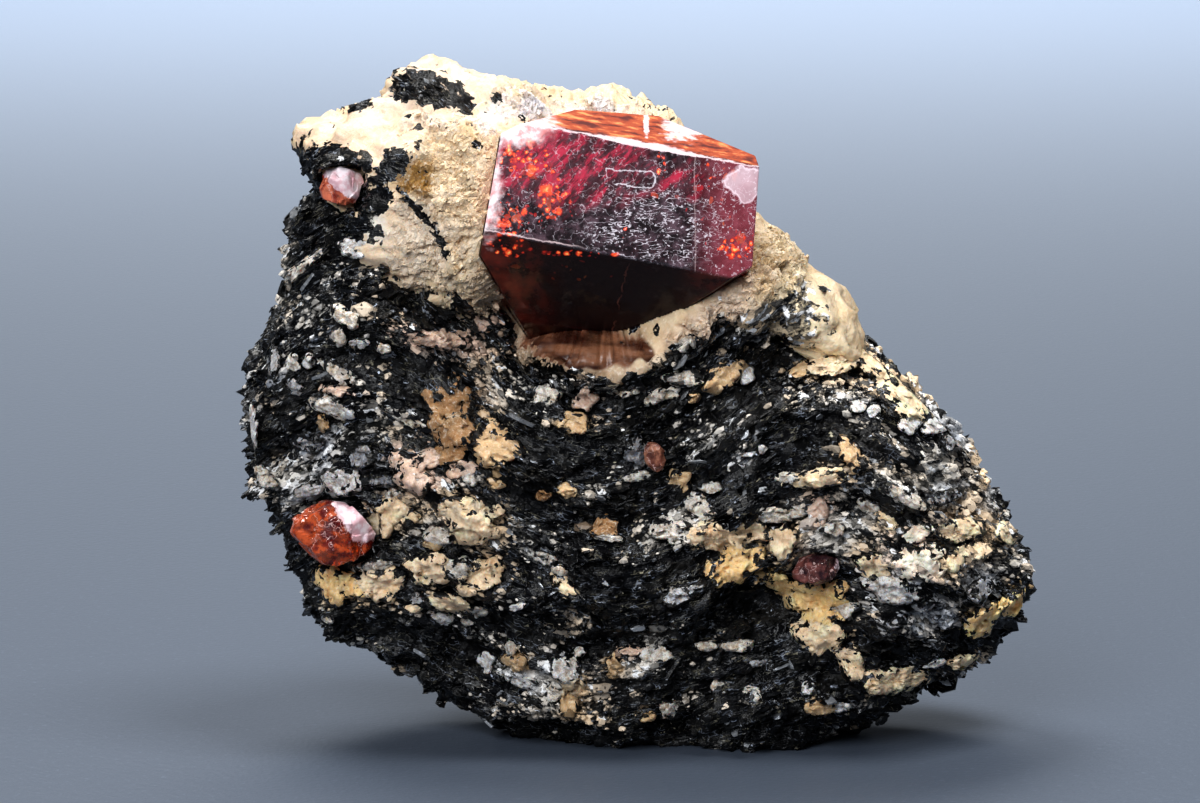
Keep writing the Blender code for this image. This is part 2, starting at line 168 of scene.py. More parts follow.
def cleavage(points, size, slope, step, seed):
    """Height of a broken crystalline surface: each cell is a facet with its own tilt and level,
    slope times the offset along a way drawn for the cell, plus step times its level."""
    offset, edge, name = crystal_cells(points, size, seed)
    turn, lift = name * 2 * math.pi * 7, np.cos(name * 41)
    facet = np.stack([np.cos(turn), np.sin(turn), lift], 1)
    return slope * (offset * facet).sum(1) + step * (2 * np.modf(name * 17)[0] - 1), edge, name


def outline_polar():
    """The rock's outline as sorted angles and radii about its centre, closed at both ends."""
    offset = np.array(ROCK_OUTLINE) - ROCK_CENTRE
    angle = np.arctan2(offset[:, 1], offset[:, 0])
    order = np.argsort(angle)
    angle, radius = angle[order], np.hypot(*offset[order].T)
    turn = 2 * math.pi
    angle = np.concatenate([angle[-1:] - turn, angle, angle[:1] + turn])
    return angle, np.concatenate([radius[-1:], radius, radius[:1]])


def layer_height(x, z):
    """Which layer of the rock a point is in: its height, less a cosine fold that grows upward."""
    fold = FOLD_HEIGHT + FOLD_GROWTH * np.clip(z / FOLD_SPAN, 0, FOLD_SPANS)
    return z - fold * np.cos(2 * math.pi * (x - FOLD_CREST) / FOLD_LENGTH)


def layer_normal(x, z):
    """The way across the layers: the slope of layer_height, turned into a unit vector."""
    step = 0.05
    along = (layer_height(x + step, z) - layer_height(x - step, z)) / (2 * step)
    up = (layer_height(x, z + step) - layer_height(x, z - step)) / (2 * step)
    return unit(np.stack([along, 0 * x, up], 1))


def unit(vectors):
    """Each vector divided by its length."""
    return vectors / np.maximum(np.linalg.norm(vectors, axis=-1, keepdims=True), 1e-12)


def relief(x, z, features):
    """The sum of bell-shaped swells and hollows: height times exp(-distance^2)."""
    total = np.zeros_like(x)
    for fx, fz, long, wide, turn, height in features:
        total += height * np.exp(-spot_distance(x, z, fx, fz, long, wide, turn) ** 2)
    return total


def spot_distance(x, z, middle_x, middle_z, half_x, half_z, turn):
    """Distance from the middle of a turned ellipse, as a share of its half sizes."""
    c, s = math.cos(math.radians(turn)), math.sin(math.radians(turn))
    along = (x - middle_x) * c + (z - middle_z) * s
    across = -(x - middle_x) * s + (z - middle_z) * c
    return np.hypot(along / half_x, across / half_z)


def socket_limit(x, z):
    """How far forward the rock may stand near the large crystal."""
    out = np.full_like(x, -99.0)
    for direction, distance in SOCKET_LINES:
        turn = math.radians(direction)
        away = (x - ZIRCON_CENTRE[0]) * math.cos(turn) + (z - ZIRCON_CENTRE[2]) * math.sin(turn)
        out = np.maximum(out, away - distance)
    rise = np.clip(out / SOCKET_RISE, 0, 1)
    return SOCKET_FLOOR + 14 * rise * rise * (3 - 2 * rise)


def rock_form(angle, across, front):
    """The rock's skin by the angle round its outline and the share of the outline's radius: a
    pillow whose section is a superellipse of powers 3 and 2, then relief, ledges and roughness."""
    reach = np.interp(angle, *outline_polar()) * across
    x = ROCK_CENTRE[0] + reach * np.cos(angle)
    z = ROCK_CENTRE[1] + reach * np.sin(angle)
    depth = np.where(front, ROCK_FRONT, ROCK_BACK)
    through = np.sqrt(np.clip(1 - across**3, 0, 1))
    inner = np.clip(through * 1.3, 0, 1) ** 2
    bump = np.where(front, relief(x, z, FRONT_RELIEF), relief(x, z, BACK_RELIEF))
    layer = layer_height(x, z) / LEDGE_STEP
    bump += LEDGE_HEIGHT * np.abs(2 * (layer - np.floor(layer + 0.5))) ** 1.5
    flat = np.stack([x, np.where(front, -depth, depth) * through, z], 1)
    bump += 0.55 * waves(flat, 9.0, 3) + 0.32 * waves(flat, 4.2, 4)
    flat[:, 1] += np.where(front, -1, 1) * bump * inner
    flat[:, 1] = np.maximum(flat[:, 1], -socket_limit(x, z))
    flat[:, 1] += 1.1 * waves(np.stack([x, 0 * x, z], 1), 17.0, 5)
    notch = -0.05 * np.abs(waves(flat, 8.0, 6)) * np.clip(through * 2.5, 0, 1) * (1 - inner * 0.7)
    flat[:, 0] += (x - ROCK_CENTRE[0]) * notch
    flat[:, 2] += (z - ROCK_CENTRE[1]) * notch
    return flat


def lobe_field(points):
    """How deep each point is in the smooth union of the cap's lobes, in rough millimetres."""
    total = np.zeros(len(points))
    for x, y, z, a, b, c, turn in CAP_LOBES:
        co, si = math.cos(math.radians(turn)), math.sin(math.radians(turn))
        dx, dy, dz = (points - (x, y, z)).T
        size = np.sqrt(((dx * co - dz * si) / a) ** 2 + (dy / b) ** 2 + ((dx * si + dz * co) / c) ** 2)
        total += np.exp(np.clip((1 - size) * min(a, b, c) / 0.8, -40, 40))
    return 0.8 * np.log(total)


def cap_reach(way):
    """How far the feldspar's skin is from its centre along each unit vector: the farthest point of
    the lobes on that ray, with two wave fields on it."""
    steps = np.linspace(2.0, 27.0, 161)
    reach = np.full(len(way), steps[0])
    before = lobe_field(CAP_CENTRE + way * steps[0])
    for low, high in zip(steps[:-1], steps[1:]):
        after = lobe_field(CAP_CENTRE + way * high)
        leaves = (before > 0) & (after <= 0)
        share = before / np.where(leaves, before - after, 1)
        reach = np.where(leaves, low + (high - low) * share, reach)
        before = after
    skin = CAP_CENTRE + way * reach[:, None]
    return reach + 0.30 * waves(skin, 5.0, 11) + 0.22 * waves(skin, 2.6, 12)


def zircon_planes():
    """Outward unit normals and distances of the large crystal's faces about its centre."""
    tilt = math.radians(ZIRCON_AXIS_TILT)
    axis = np.array([math.cos(tilt), 0, math.sin(tilt)])
    up, front = np.array([-math.sin(tilt), 0, math.cos(tilt)]), np.array([0, -1, 0])
    normals, distances = [], []
    for angle, lean, distance in ZIRCON_FACES:
        angle, lean = math.radians(angle), math.radians(lean)
        across = front * math.cos(angle) + up * math.sin(angle)
        normals.append(across * math.cos(lean) + axis * math.sin(lean))
        distances.append(distance)
    return unit(np.array(normals)), np.array(distances)


def zircon_reach(way, start, gap):
    """How far the large crystal's faces, moved out by gap, are from start along unit vectors."""
    normals, distances = zircon_planes()
    ahead = way @ normals.T
    room = distances + gap - normals @ (start - ZIRCON_CENTRE)
    return np.where(ahead > 1e-6, room / np.maximum(ahead, 1e-6), 1e9).min(1)


def zircon_depth(points):
    """How far points are outside the large crystal's faces: negative inside."""
    normals, distances = zircon_planes()
    return ((points - ZIRCON_CENTRE) @ normals.T - distances).max(1)


def push_behind_crystals(points, gap):
    """Moves points that lie inside a crystal's seat straight back, to just behind the crystal."""
    normals, distances = zircon_planes()
    offset = points - ZIRCON_CENTRE
    room = distances + SEAT_GAP - offset[:, [0, 2]] @ normals[:, [0, 2]].T
    slope = normals[:, 1]
    back = np.where(slope > 1e-3, room / np.where(slope > 1e-3, slope, 1), 99).min(1)
    front = np.where(slope < -1e-3, room / np.where(slope < -1e-3, slope, 1), -99).max(1)
    inside = (offset[:, 1] > front) & (offset[:, 1] < back + gap)
    points = points.copy()
    points[inside, 1] = (ZIRCON_CENTRE[1] + back + gap)[inside]
    for middle, half in SMALL_ZIRCONS.values():
        x, y, z = (points - middle).T
        share = (np.abs(x) / (half[0] + 0.3)) ** 2.6 + (np.abs(z) / (half[2] + 0.3)) ** 2.6
        depth = middle[1] + (half[1] + 0.3) * np.clip(1 - share, 0, 1) ** 0.35
        inside = (share < 1) & (y < half[1] + 3)
        points[inside, 1] = np.maximum(points[inside, 1], depth[inside])
    return points


# ---------------------------------------------------------------- regions of the show side

PALE, CREAM, YELLOW = (0.80, 0.76, 0.70), (0.86, 0.66, 0.45), (0.86, 0.58, 0.28)
TAN, BROWN, WHITE = (0.60, 0.42, 0.24), (0.36, 0.21, 0.10), (0.90, 0.90, 0.91)
BLUSH, PINKISH, SILVER = (0.88, 0.72, 0.60), (0.68, 0.50, 0.40), (0.42, 0.44, 0.48)
# Feldspar lenses and large grains: x, z, half length, half height, turn, stand-out, colour.
LENSES = [
    (-29.5, 28.4, 0.5, 0.8, 0, 0.4, WHITE), (-29, 23.8, 0.5, 1.8, 0, 0.4, WHITE),
    (-28.4, 20.6, 0.7, 0.4, 0, 0.4, PALE), (-27.8, 20, 0.7, 0.5, 0, 0.4, PALE),
    (-22, 31.5, 0.5, 0.8, 0, 0.4, PALE), (-20.6, 31.2, 0.7, 0.4, 0, 0.4, WHITE),
    (-18.8, 30.8, 0.5, 0.4, 0, 0.4, PALE), (-25.6, 29.3, 0.5, 0.6, 0, 0.4, PALE),
    (-24.3, 29.4, 0.6, 0.5, 0, 0.4, WHITE), (-22.3, 29, 1.3, 0.6, -25, 0.4, PALE),
    (-27.1, 29, 0.4, 1.2, 0, 0.3, SILVER), (-22.2, 27.6, 1.2, 0.4, 0, 0.4, PINKISH),
    (-22.6, 26.2, 1.5, 0.7, -15, 0.4, PALE), (-21.3, 25.8, 0.5, 0.5, 0, 0.4, WHITE),
    (-23.4, 25, 0.4, 0.8, 0, 0.3, TAN), (-25.4, 27.4, 0.9, 0.5, -30, 0.3, SILVER),
    (-17.2, 25.6, 1.8, 0.45, -28, 0.4, PALE), (-14.2, 26.6, 1.6, 1.8, 0, 0.4, BROWN),
    (-13.6, 24.8, 1.3, 1.5, 0, 0.4, BROWN), (-14, 23.2, 1, 0.7, 0, 0.4, BROWN),
    (-10.7, 23.6, 1.6, 1.4, -20, 0.6, TAN), (-17.8, 22.7, 0.7, 0.5, 0, 0.4, PINKISH),
    (-16.6, 21.6, 1.3, 1.4, 20, 0.6, PINKISH), (-15.5, 22.8, 0.8, 0.6, 0, 0.4, PINKISH),
    (-13.1, 22.2, 1, 0.7, 0, 0.4, PINKISH), (-12.4, 21.5, 0.5, 0.6, 0, 0.4, PALE),
    (-10.4, 21, 0.5, 0.3, 0, 0.3, TAN), (-22, 20.6, 1.7, 1, 0, 0.4, WHITE),
    (-24.7, 19.5, 1.1, 0.5, 20, 0.4, WHITE), (-19.3, 20.9, 1.3, 0.6, 0, 0.3, SILVER),
    (-20.5, 22.5, 0.9, 1, 0, 0.3, SILVER), (-24.6, 23.2, 1.2, 0.8, 0, 0.3, SILVER),
    (-18, 19.9, 0.6, 0.5, 0, 0.4, PALE), (-18.3, 18.6, 1.3, 1.1, 20, 0.8, CREAM),
    (-19.3, 17.2, 1, 0.9, 30, 0.9, CREAM), (-17.1, 18.3, 0.8, 0.5, 0, 0.5, CREAM),
    (-13.2, 19.3, 1.8, 0.8, 0, 0.6, CREAM), (-12.3, 17.9, 1.9, 1.5, -10, 1, CREAM),
    (-14.8, 17, 1, 0.7, 0, 0.5, PALE), (-15.2, 16.3, 0.7, 0.4, 0, 0.4, TAN),
    (-10.9, 19, 0.8, 0.5, 0, 0.5, CREAM), (-15.6, 14.2, 1.6, 1.2, 10, 0.9, CREAM),
    (-13.3, 14.4, 1.3, 0.8, 0, 0.7, PALE), (-11.5, 14.2, 1.7, 1, 10, 0.8, CREAM),
    (-12.8, 13.1, 0.8, 0.6, 0, 0.6, CREAM), (-19.5, 14.4, 1.7, 0.5, 18, 0.5, PALE),
    (-22.7, 12.6, 1.4, 1.2, -50, 0.9, YELLOW), (-21.2, 12.6, 1.2, 1, 0, 0.9, YELLOW),
    (-19.2, 12.9, 1.9, 1.2, 10, 1, CREAM), (-16.8, 12, 1.5, 0.6, -20, 0.5, SILVER),
    (-16.8, 11.2, 0.8, 0.4, 0, 0.4, CREAM), (-14, 11.6, 1.8, 0.7, -15, 0.5, CREAM),
    (-12, 10.8, 0.7, 0.6, 0, 0.4, PALE), (-14.6, 10.3, 1, 0.5, -20, 0.4, WHITE),
    (-12.8, 9.9, 0.5, 0.4, 0, 0.4, PALE), (-23.2, 9.7, 0.5, 0.3, 0, 0.3, PALE),
    (-7.2, 15.4, 0.9, 0.5, -20, 0.4, PALE), (-5.7, 13.4, 1.2, 0.7, -50, 0.5, CREAM),
    (-6, 14.5, 0.6, 0.4, 0, 0.4, PALE), (-9.1, 11.8, 0.6, 0.3, 30, 0.4, WHITE),
    (-9.6, 8.1, 0.5, 0.5, 0, 0.4, PALE), (-9.3, 6.9, 0.8, 0.7, 0, 0.5, TAN),
    (-11.6, 6.5, 0.6, 0.7, 0, 0.5, WHITE), (-9.3, 5.6, 1.3, 0.5, -15, 0.4, WHITE),
    (-5.6, 6.5, 1.3, 1, -30, 0.6, WHITE), (-4.9, 5.5, 1, 0.8, -45, 0.6, CREAM),
    (-5.3, 4.2, 0.7, 1.1, 0, 0.5, TAN), (-4.5, 7.9, 0.5, 0.4, 0, 0.4, WHITE),
    (-6.5, 4.6, 0.6, 0.8, 0, 0.4, PALE), (-2.1, 7, 0.5, 0.8, 0, 0.4, TAN),
    (-0.8, 8, 0.7, 0.4, 0, 0.3, PINKISH),
    (-6.9, 27.3, 1, 0.8, -20, 0.4, PALE), (-4.1, 27, 0.8, 0.8, 0, 0.4, PINKISH),
    (-4.9, 25.4, 1, 0.8, 0, 0.4, TAN), (-1.3, 27.5, 1.3, 0.4, 0, 0.3, PALE),
    (-5.4, 20.4, 0.6, 0.6, 0, 0.4, TAN), (-7.2, 20, 0.5, 0.5, 0, 0.3, BROWN),
    (-2.6, 17.6, 0.9, 0.8, 0, 0.3, BROWN), (-2.3, 16.9, 1.1, 0.3, -10, 0.3, PALE),
    (-2.7, 13.7, 0.5, 0.4, 0, 0.3, SILVER), (-14.9, 31.3, 2.7, 0.7, -12, 0.5, PINKISH),
    (-12.2, 32.7, 1.5, 0.8, -30, 0.4, PINKISH), (-20.8, 37.9, 1.7, 0.7, -8, 0.5, WHITE),
    (-21.4, 33, 1, 0.6, -30, 0.4, PALE), (-25.2, 35.9, 2.6, 0.35, 40, 0.3, PALE),
    (-0.2, 21.2, 1.3, 0.3, 0, 0.3, PALE), (20.6, 26.6, 2.6, 1.3, -22, 0.9, CREAM),
    (16.9, 29.7, 2.3, 1.2, -45, 0.9, CREAM), (14.2, 29.2, 2.1, 0.7, 12, 0.6, CREAM),
    (11.6, 28.6, 0.8, 0.4, 20, 0.4, TAN), (6.2, 28.8, 1.5, 1, 20, 0.5, TAN),
    (7.8, 28.4, 0.6, 0.5, 0, 0.5, WHITE), (3.2, 28.6, 1.6, 0.6, 0, 0.4, PALE),
    (1.4, 27.3, 1.5, 0.5, 20, 0.4, PALE), (3.8, 27.3, 0.5, 0.4, 0, 0.4, TAN),
    (24.4, 22.9, 1.3, 0.7, -40, 0.5, WHITE), (25.6, 21.8, 0.6, 0.8, 0, 0.4, CREAM),
    (26.3, 20.2, 1.4, 0.6, -60, 0.4, CREAM), (27.4, 17.7, 1.2, 0.6, -45, 0.4, WHITE),
    (27.5, 16, 0.9, 0.7, -30, 0.5, CREAM), (19.9, 24.9, 0.8, 0.6, 0, 0.5, WHITE),
    (21.8, 24.4, 1, 0.5, -15, 0.4, WHITE), (23, 23, 0.6, 0.6, 0, 0.4, SILVER),
    (17, 26, 0.45, 0.4, 0, 0.4, WHITE), (15.9, 26.4, 0.5, 0.4, 0, 0.4, WHITE),
    (15.2, 23.3, 0.7, 1, 20, 0.4, TAN), (7.9, 23.1, 0.5, 0.2, 10, 0.3, WHITE),
    (8.9, 23.4, 0.35, 0.4, 0, 0.3, WHITE), (7, 22.1, 0.7, 0.4, 0, 0.4, WHITE),
    (12.8, 21.6, 2.1, 0.7, 15, 0.6, CREAM), (10.9, 21.4, 1, 0.5, 0, 0.5, PALE),
    (19, 20.2, 1.9, 0.5, -28, 0.4, PALE), (22.2, 19.6, 1.5, 0.4, 0, 0.3, SILVER),
    (12.9, 19, 0.8, 0.9, 0, 0.5, PINKISH), (2.8, 20.8, 0.9, 0.9, 0, 0.6, TAN),
    (4.1, 19.3, 1.2, 0.7, -15, 0.5, PALE), (5.1, 20.5, 0.8, 0.4, 0, 0.4, PALE),
    (5.8, 16.7, 2.1, 1.1, -8, 0.8, CREAM), (8, 17.5, 1.3, 1, 0, 0.7, CREAM),
    (9.9, 18.6, 2, 0.6, 5, 0.6, PALE),
    (6.8, 14.9, 1.9, 1.4, 20, 1, YELLOW), (10.4, 16.7, 0.9, 1.5, -15, 0.9, CREAM),
    (10.8, 12.5, 2.1, 0.8, -42, 0.8, YELLOW), (13.1, 11.6, 2.1, 1.6, 0, 1, YELLOW),
    (13.4, 9.2, 1.7, 1.5, 0, 1, CREAM), (15, 11.4, 1, 0.6, 0, 0.9, PALE),
    (15.5, 7.2, 1.4, 0.9, -60, 0.8, CREAM), (18.5, 5.5, 2.9, 1, -5, 0.8, CREAM),
    (21.9, 6.4, 0.8, 0.3, 15, 0.4, WHITE), (24, 6.3, 1.2, 0.6, 8, 0.6, CREAM),
    (25.4, 9.6, 1.6, 1.2, 35, 0.8, YELLOW), (27.8, 10.8, 1.3, 1, 0, 0.8, YELLOW),
    (17.2, 15, 1.4, 1.1, 0, 0.7, CREAM), (20.3, 15.2, 2.1, 1.4, 0, 0.8, BLUSH),
    (18.1, 13.1, 2, 1, -12, 0.7, WHITE), (23.5, 16.9, 2.1, 0.8, -15, 0.6, CREAM),
    (22.8, 14.9, 1, 0.7, 0, 0.5, CREAM), (24.6, 15.4, 1.4, 0.5, -20, 0.4, CREAM),
    (20.2, 17.2, 1.4, 0.6, 10, 0.5, BLUSH), (14, 17.7, 0.8, 0.5, 0, 0.4, PALE),
    (17.8, 18.2, 0.9, 0.5, -20, 0.4, CREAM), (16.6, 19.2, 0.9, 0.5, -40, 0.3, PALE),
    (3, 13, 2, 0.6, 15, 0.6, SILVER), (2.2, 17.4, 1.3, 0.8, 0, 0.5, PALE),
    (1.2, 7.9, 1.1, 0.6, 0, 0.4, PALE), (4.9, 8.4, 0.9, 0.4, 0, 0.4, PALE),
    (7.3, 8.4, 1.1, 0.5, 0, 0.4, PALE), (5.9, 5.2, 0.6, 0.5, 0, 0.4, PALE),
    (8.3, 4.8, 0.7, 0.5, 0, 0.4, PALE), (13.3, 3.8, 1.3, 0.7, 0, 0.4, TAN),
    (14.9, 3.6, 0.7, 0.4, 0, 0.4, WHITE), (0.5, 2.9, 0.6, 0.5, 0, 0.3, TAN),
    (2, 3.4, 0.6, 0.8, 0, 0.4, PALE),
    (12.4, 5.2, 0.5, 0.6, 0, 0.4, WHITE), (20.8, 11.5, 1.2, 0.5, -10, 0.3, SILVER),
    (25, 12.4, 0.9, 0.9, 0, 0.3, SILVER), (18.6, 10.4, 0.8, 0.5, 20, 0.3, SILVER),
    (22.4, 10.2, 0.8, 0.5, 0, 0.3, SILVER), (8.5, 7, 0.8, 0.35, 20, 0.3, SILVER),
    (-0.3, 23, 0.9, 1.2, 30, 0.3, SILVER), (11.9, 31.6, 0.8, 0.6, 0, 0.4, PALE),
    (3.2, 31.2, 0.9, 0.6, 0, 0.4, PALE),
]
# Where the rock is richer (positive) or poorer (negative) in pale grains: x, z, half sizes, turn
# and how much.
PALE_ZONES = [
    (-28.6, 27.5, 2.2, 6.5, -12, 0.2), (-24.5, 34.0, 4.5, 1.6, 35, 0.4), (-22.0, 31.5, 4.0, 2.0, 10, -0.2),
    (-13.5, 30.8, 4.6, 1.1, -12, 0.8), (-22.0, 26.5, 3.5, 2.5, 0, -0.3), (-23.0, 19.8, 3.4, 1.2, 0, 0.6),
    (1.5, 29.6, 5.5, 1.4, 12, 0.6), (16.0, 28.6, 4.5, 2.2, -35, 0.9), (24.2, 22.5, 2.8, 6.5, 25, 1.4),
    (21.5, 16.0, 7.5, 6.0, -10, 1.1), (-5.8, 4.6, 2.0, 2.6, 10, 0.7), (-9.5, 7.0, 2.5, 1.8, 0, 0.4),
    (7.5, 9.0, 3.0, 2.0, 0, 0.4), (-17.5, 24.6, 3.0, 2.2, -20, 0.5), (12.0, 22.0, 4.0, 1.2, 10, 0.6),
    (4.0, 17.2, 2.4, 1.3, 10, 0.7), (14.5, 17.5, 2.5, 2.5, 0, 0.5), (-8.0, 21.0, 5.0, 2.5, 0, 0.3),
    (0.5, 4.5, 4.0, 2.0, 0, 0.3), (-15.0, 20.5, 3.0, 1.5, 0, 0.4), (-27.5, 21.5, 1.8, 2.5, 0, 0.6),
    (-14.8, 35.5, 3.5, 1.8, -45, -1.0), (-15.5, 27.6, 3.2, 1.3, 0, -0.9), (-5.5, 26.0, 4.0, 1.8, -20, -0.5),
    (-3.0, 14.0, 4.5, 2.8, 0, -0.6), (7.0, 11.0, 3.5, 2.6, 0, -1.2), (-5.5, 20.0, 3.0, 1.5, 0, -0.5),
    (12.0, 6.0, 4.0, 2.0, 0, -0.8), (4.0, 1.5, 16.0, 1.6, 0, -0.7), (-17.5, 8.0, 4.0, 1.6, -25, -0.9),
    (20.0, 19.5, 4.5, 1.2, -10, -0.8), (9.0, 20.5, 3.0, 1.2, 15, -0.9), (-14.0, 15.9, 3.5, 0.8, 0, -0.9),
    (-25.0, 39.0, 1.8, 2.9, 0, -1.4), (-27.0, 13.5, 2.0, 4.0, 0, -0.8), (23.0, 7.5, 4.0, 1.2, 20, -0.8),
]
# Colours on the feldspar cap's front: x, z, half sizes, turn, colour.
CAP_TINTS = [
    (-14.0, 41.4, 3.0, 4.6, -8, (0.86, 0.66, 0.44)), (-17.4, 38.8, 2.9, 3.3, 0, (0.93, 0.74, 0.55)),
    (-16.4, 43.3, 1.4, 1.2, 20, (0.38, 0.20, 0.05)), (-21.0, 46.0, 3.5, 2.5, 0, (0.88, 0.67, 0.49)),
    (-13.0, 47.0, 1.2, 1.0, -30, (0.80, 0.58, 0.34)), (-17.3, 46.7, 1.0, 0.5, -10, (0.82, 0.60, 0.38)),
    (-11.0, 36.0, 1.2, 4.0, -20, (0.62, 0.47, 0.33)), (-6.5, 29.6, 5.5, 2.4, -8, (0.52, 0.38, 0.26)),
    (-3.9, 31.0, 3.8, 1.1, 0, (0.26, 0.10, 0.05)), (9.6, 36.0, 1.5, 1.6, 0, (0.50, 0.34, 0.17)),
    (4.5, 32.2, 5.0, 1.2, 38, (0.78, 0.58, 0.42)), (12.6, 31.6, 2.0, 3.6, 25, (0.94, 0.78, 0.54)),
    (-3.0, 48.0, 5.0, 1.4, 0, (0.80, 0.80, 0.84)), (-16.0, 49.5, 4.5, 2.4, 0, (0.88, 0.71, 0.56)),
    (-10.6, 47.6, 1.4, 0.7, 30, (0.93, 0.84, 0.76)), (-19.5, 39.6, 1.0, 1.0, 0, (0.90, 0.84, 0.74)),
]
SEAT_SHADE = (0.035, 0.022, 0.018)
# Where the cap is crumbly: x, z, half sizes, turn.
CAP_GRIT = [
    (-14.0, 41.0, 3.0, 4.8, -8), (-9.5, 29.2, 2.5, 2.0, -8), (-11.0, 36.0, 1.6, 4.0, -20),
    (6.0, 32.0, 5.0, 1.6, 35), (9.6, 36.0, 1.6, 1.8, 0), (-3.0, 48.4, 5.5, 1.2, 0),
]
# The glassy brown toe under the large crystal: x, z, half sizes, turn.
TOE = (-3.6, 30.6, 4.0, 1.0, 0)
# Dark mica patches on the cap: x, z, half sizes, turn, number of plates.
CAP_MICA = [
    (-15.8, 49.3, 2.7, 1.0, -8, 240), (-21.3, 48.0, 1.5, 0.35, 0, 40), (-17.9, 44.4, 0.9, 0.8, 0, 50),
    (-14.5, 38.6, 0.3, 1.1, 25, 22), (-16.2, 41.0, 1.9, 0.3, -45, 34), (-22.6, 44.3, 2.4, 0.8, 0, 110),
    (-24.2, 42.0, 0.9, 2.4, 0, 90), (-19.6, 41.6, 1.0, 1.8, -35, 90), (-21.8, 39.4, 2.2, 0.9, 0, 110),
    (9.0, 31.8, 3.6, 2.2, 20, 150), (4.0, 29.2, 6.0, 1.0, 15, 160), (-6.0, 28.4, 4.0, 0.7, -10, 70),
    (-11.6, 31.4, 1.0, 3.0, 35, 120), (-12.0, 45.6, 0.3, 0.3, 0, 6), (-16.2, 45.6, 0.3, 0.25, 0, 6),
    (-10.6, 48.6, 0.35, 0.3, 0, 6), (-12.8, 47.8, 0.3, 0.3, 0, 5),
]

# About how wide the cells of a lens's grid are.
LENS_CELL = 0.14
# Half widths of the mica plates and the crumbs on the cap.
CAP_PLATE_SIZE, CRUMB_SIZE = 0.30, 0.085
# How the edges of the large crystal's front fall to the right, and their heights at x = 0; the last is
# where a pale line is painted along its lower edge as a highlight.
EDGE_FALL, RIDGE_HEIGHT, LOWER_EDGE, LOWER_HIGHLIGHT_HEIGHT = 0.19, 45.72, 37.5, 37.62
# Fractures in the large crystal that glow as painted light, an emission standing in for the light they
# reflect: x, y, z, spread, count.
FIRE_CLUSTERS = [
    (-6.3, -12.3, 41.2, 1.0, 26), (-9.2, -11.2, 40.3, 0.8, 26), (-8.0, -12.0, 44.0, 1.2, 30),
    (-9.5, -10.8, 37.6, 0.7, 18), (-4.5, -11.5, 36.4, 1.4, 14), (7.2, -11.5, 38.6, 0.7, 18),
    (6.4, -11.5, 43.4, 0.9, 10), (2.0, -12.0, 43.6, 1.8, 14), (5.6, -12.0, 40.8, 1.2, 14),
]
# Where the large crystal's front has a painted glow near its skin, standing in for light its fractures
# reflect: x, z, half sizes.
FIRE_SPOTS = [
    (-6.4, 42.0, 1.3, 1.8), (-9.4, 40.4, 1.1, 1.6), (-8.6, 44.9, 1.9, 1.3), (-9.6, 38.4, 1.5, 0.7),
    (-4.5, 38.0, 2.6, 0.25), (7.1, 38.5, 1.5, 0.8), (4.7, 43.4, 0.35, 1.0), (-1.2, 39.6, 0.4, 0.4),
    (1.4, 44.2, 0.35, 0.8),
]


def pale_share(points):
    """How rich the rock is in pale grains, from 0 to 1: bands along the layers, and the zones."""
    x, y, z = points.T
    stretched = np.stack([x * 0.25, y * 0.3, layer_height(x, z)], 1)
    share = 0.42 + 0.24 * waves(stretched, 3.6, 21) + 0.14 * waves(stretched, 1.5, 22)
    share = share + 0.12 * waves(points, 5.0, 23)
    front = np.clip(0.5 - y / 6, 0, 1)
    for *spot, strength in PALE_ZONES:
        share = share + front * strength * np.exp(-spot_distance(x, z, *spot) ** 2) * 0.6
    return np.clip(share, 0, 1)


# ---------------------------------------------------------------- meshes from arrays


def grid_square(count):
    """Points of a square grid from -1 to 1, rows of columns, and its cells as corner indices."""
    line = np.linspace(-1, 1, count + 1)
    a, b = np.meshgrid(line, line)
    start = (np.arange(count)[:, None] * (count + 1) + np.arange(count)[None, :]).ravel()
    return a.ravel(), b.ravel(), np.stack([start, start + 1, start + count + 2, start + count + 1], 1)


def grid_border(count):
    """Corner indices once round the border of grid_square, from its first corner."""
    line = np.arange(count)
    return np.concatenate([
        line, line * (count + 1) + count, (count + 2) * count - line, (count - line) * (count + 1)])


def square_to_disc(a, b):
    """Maps the square onto the unit disc so that nested squares become circles: angle, radius."""
    wide = np.abs(a) > np.abs(b)
    radius = np.where(wide, np.abs(a), np.abs(b))
    small = 1e-12
    sideways = np.where(a >= 0, 0, math.pi) + math.pi / 4 * b / np.where(wide, a, small)
    below = np.where(wide | (b == 0), small, b)
    upright = np.where(b >= 0, math.pi / 2, -math.pi / 2) - math.pi / 4 * a / below
    angle = np.where(wide, sideways, upright)
    return (angle + math.pi) % (2 * math.pi) - math.pi, radius


def cube_sphere(count):
    """Unit vectors of a sphere made of six square grids pressed outward, merged along their
    edges, and its cells as corner indices that face outward."""
    a, b, cells = grid_square(count)
    a, b = np.tan(a * math.pi / 4), np.tan(b * math.pi / 4)
    one = np.ones_like(a)
    sides = [(one, a, b), (-one, -a, b), (-a, one, b), (a, -one, b), (-b, a, one), (b, a, -one)]
    points = unit(np.concatenate([np.stack(side, 1) for side in sides]))
    cells = np.concatenate([cells + number * len(a) for number in range(6)])
    _, first, inverse = np.unique(np.round(points, 6), axis=0, return_index=True, return_inverse=True)
    return points[first], inverse.reshape(-1)[cells]


def icosahedron():
    """Unit vectors to the 12 corners of an icosahedron, and its faces as corner indices."""
    bm = bmesh.new()
    bmesh.ops.create_icosphere(bm, subdivisions=1, radius=1)
    points = np.array([v.co[:] for v in bm.verts])
    faces = np.array([[v.index for v in f.verts] for f in bm.faces])
    bm.free()
    return unit(points), faces


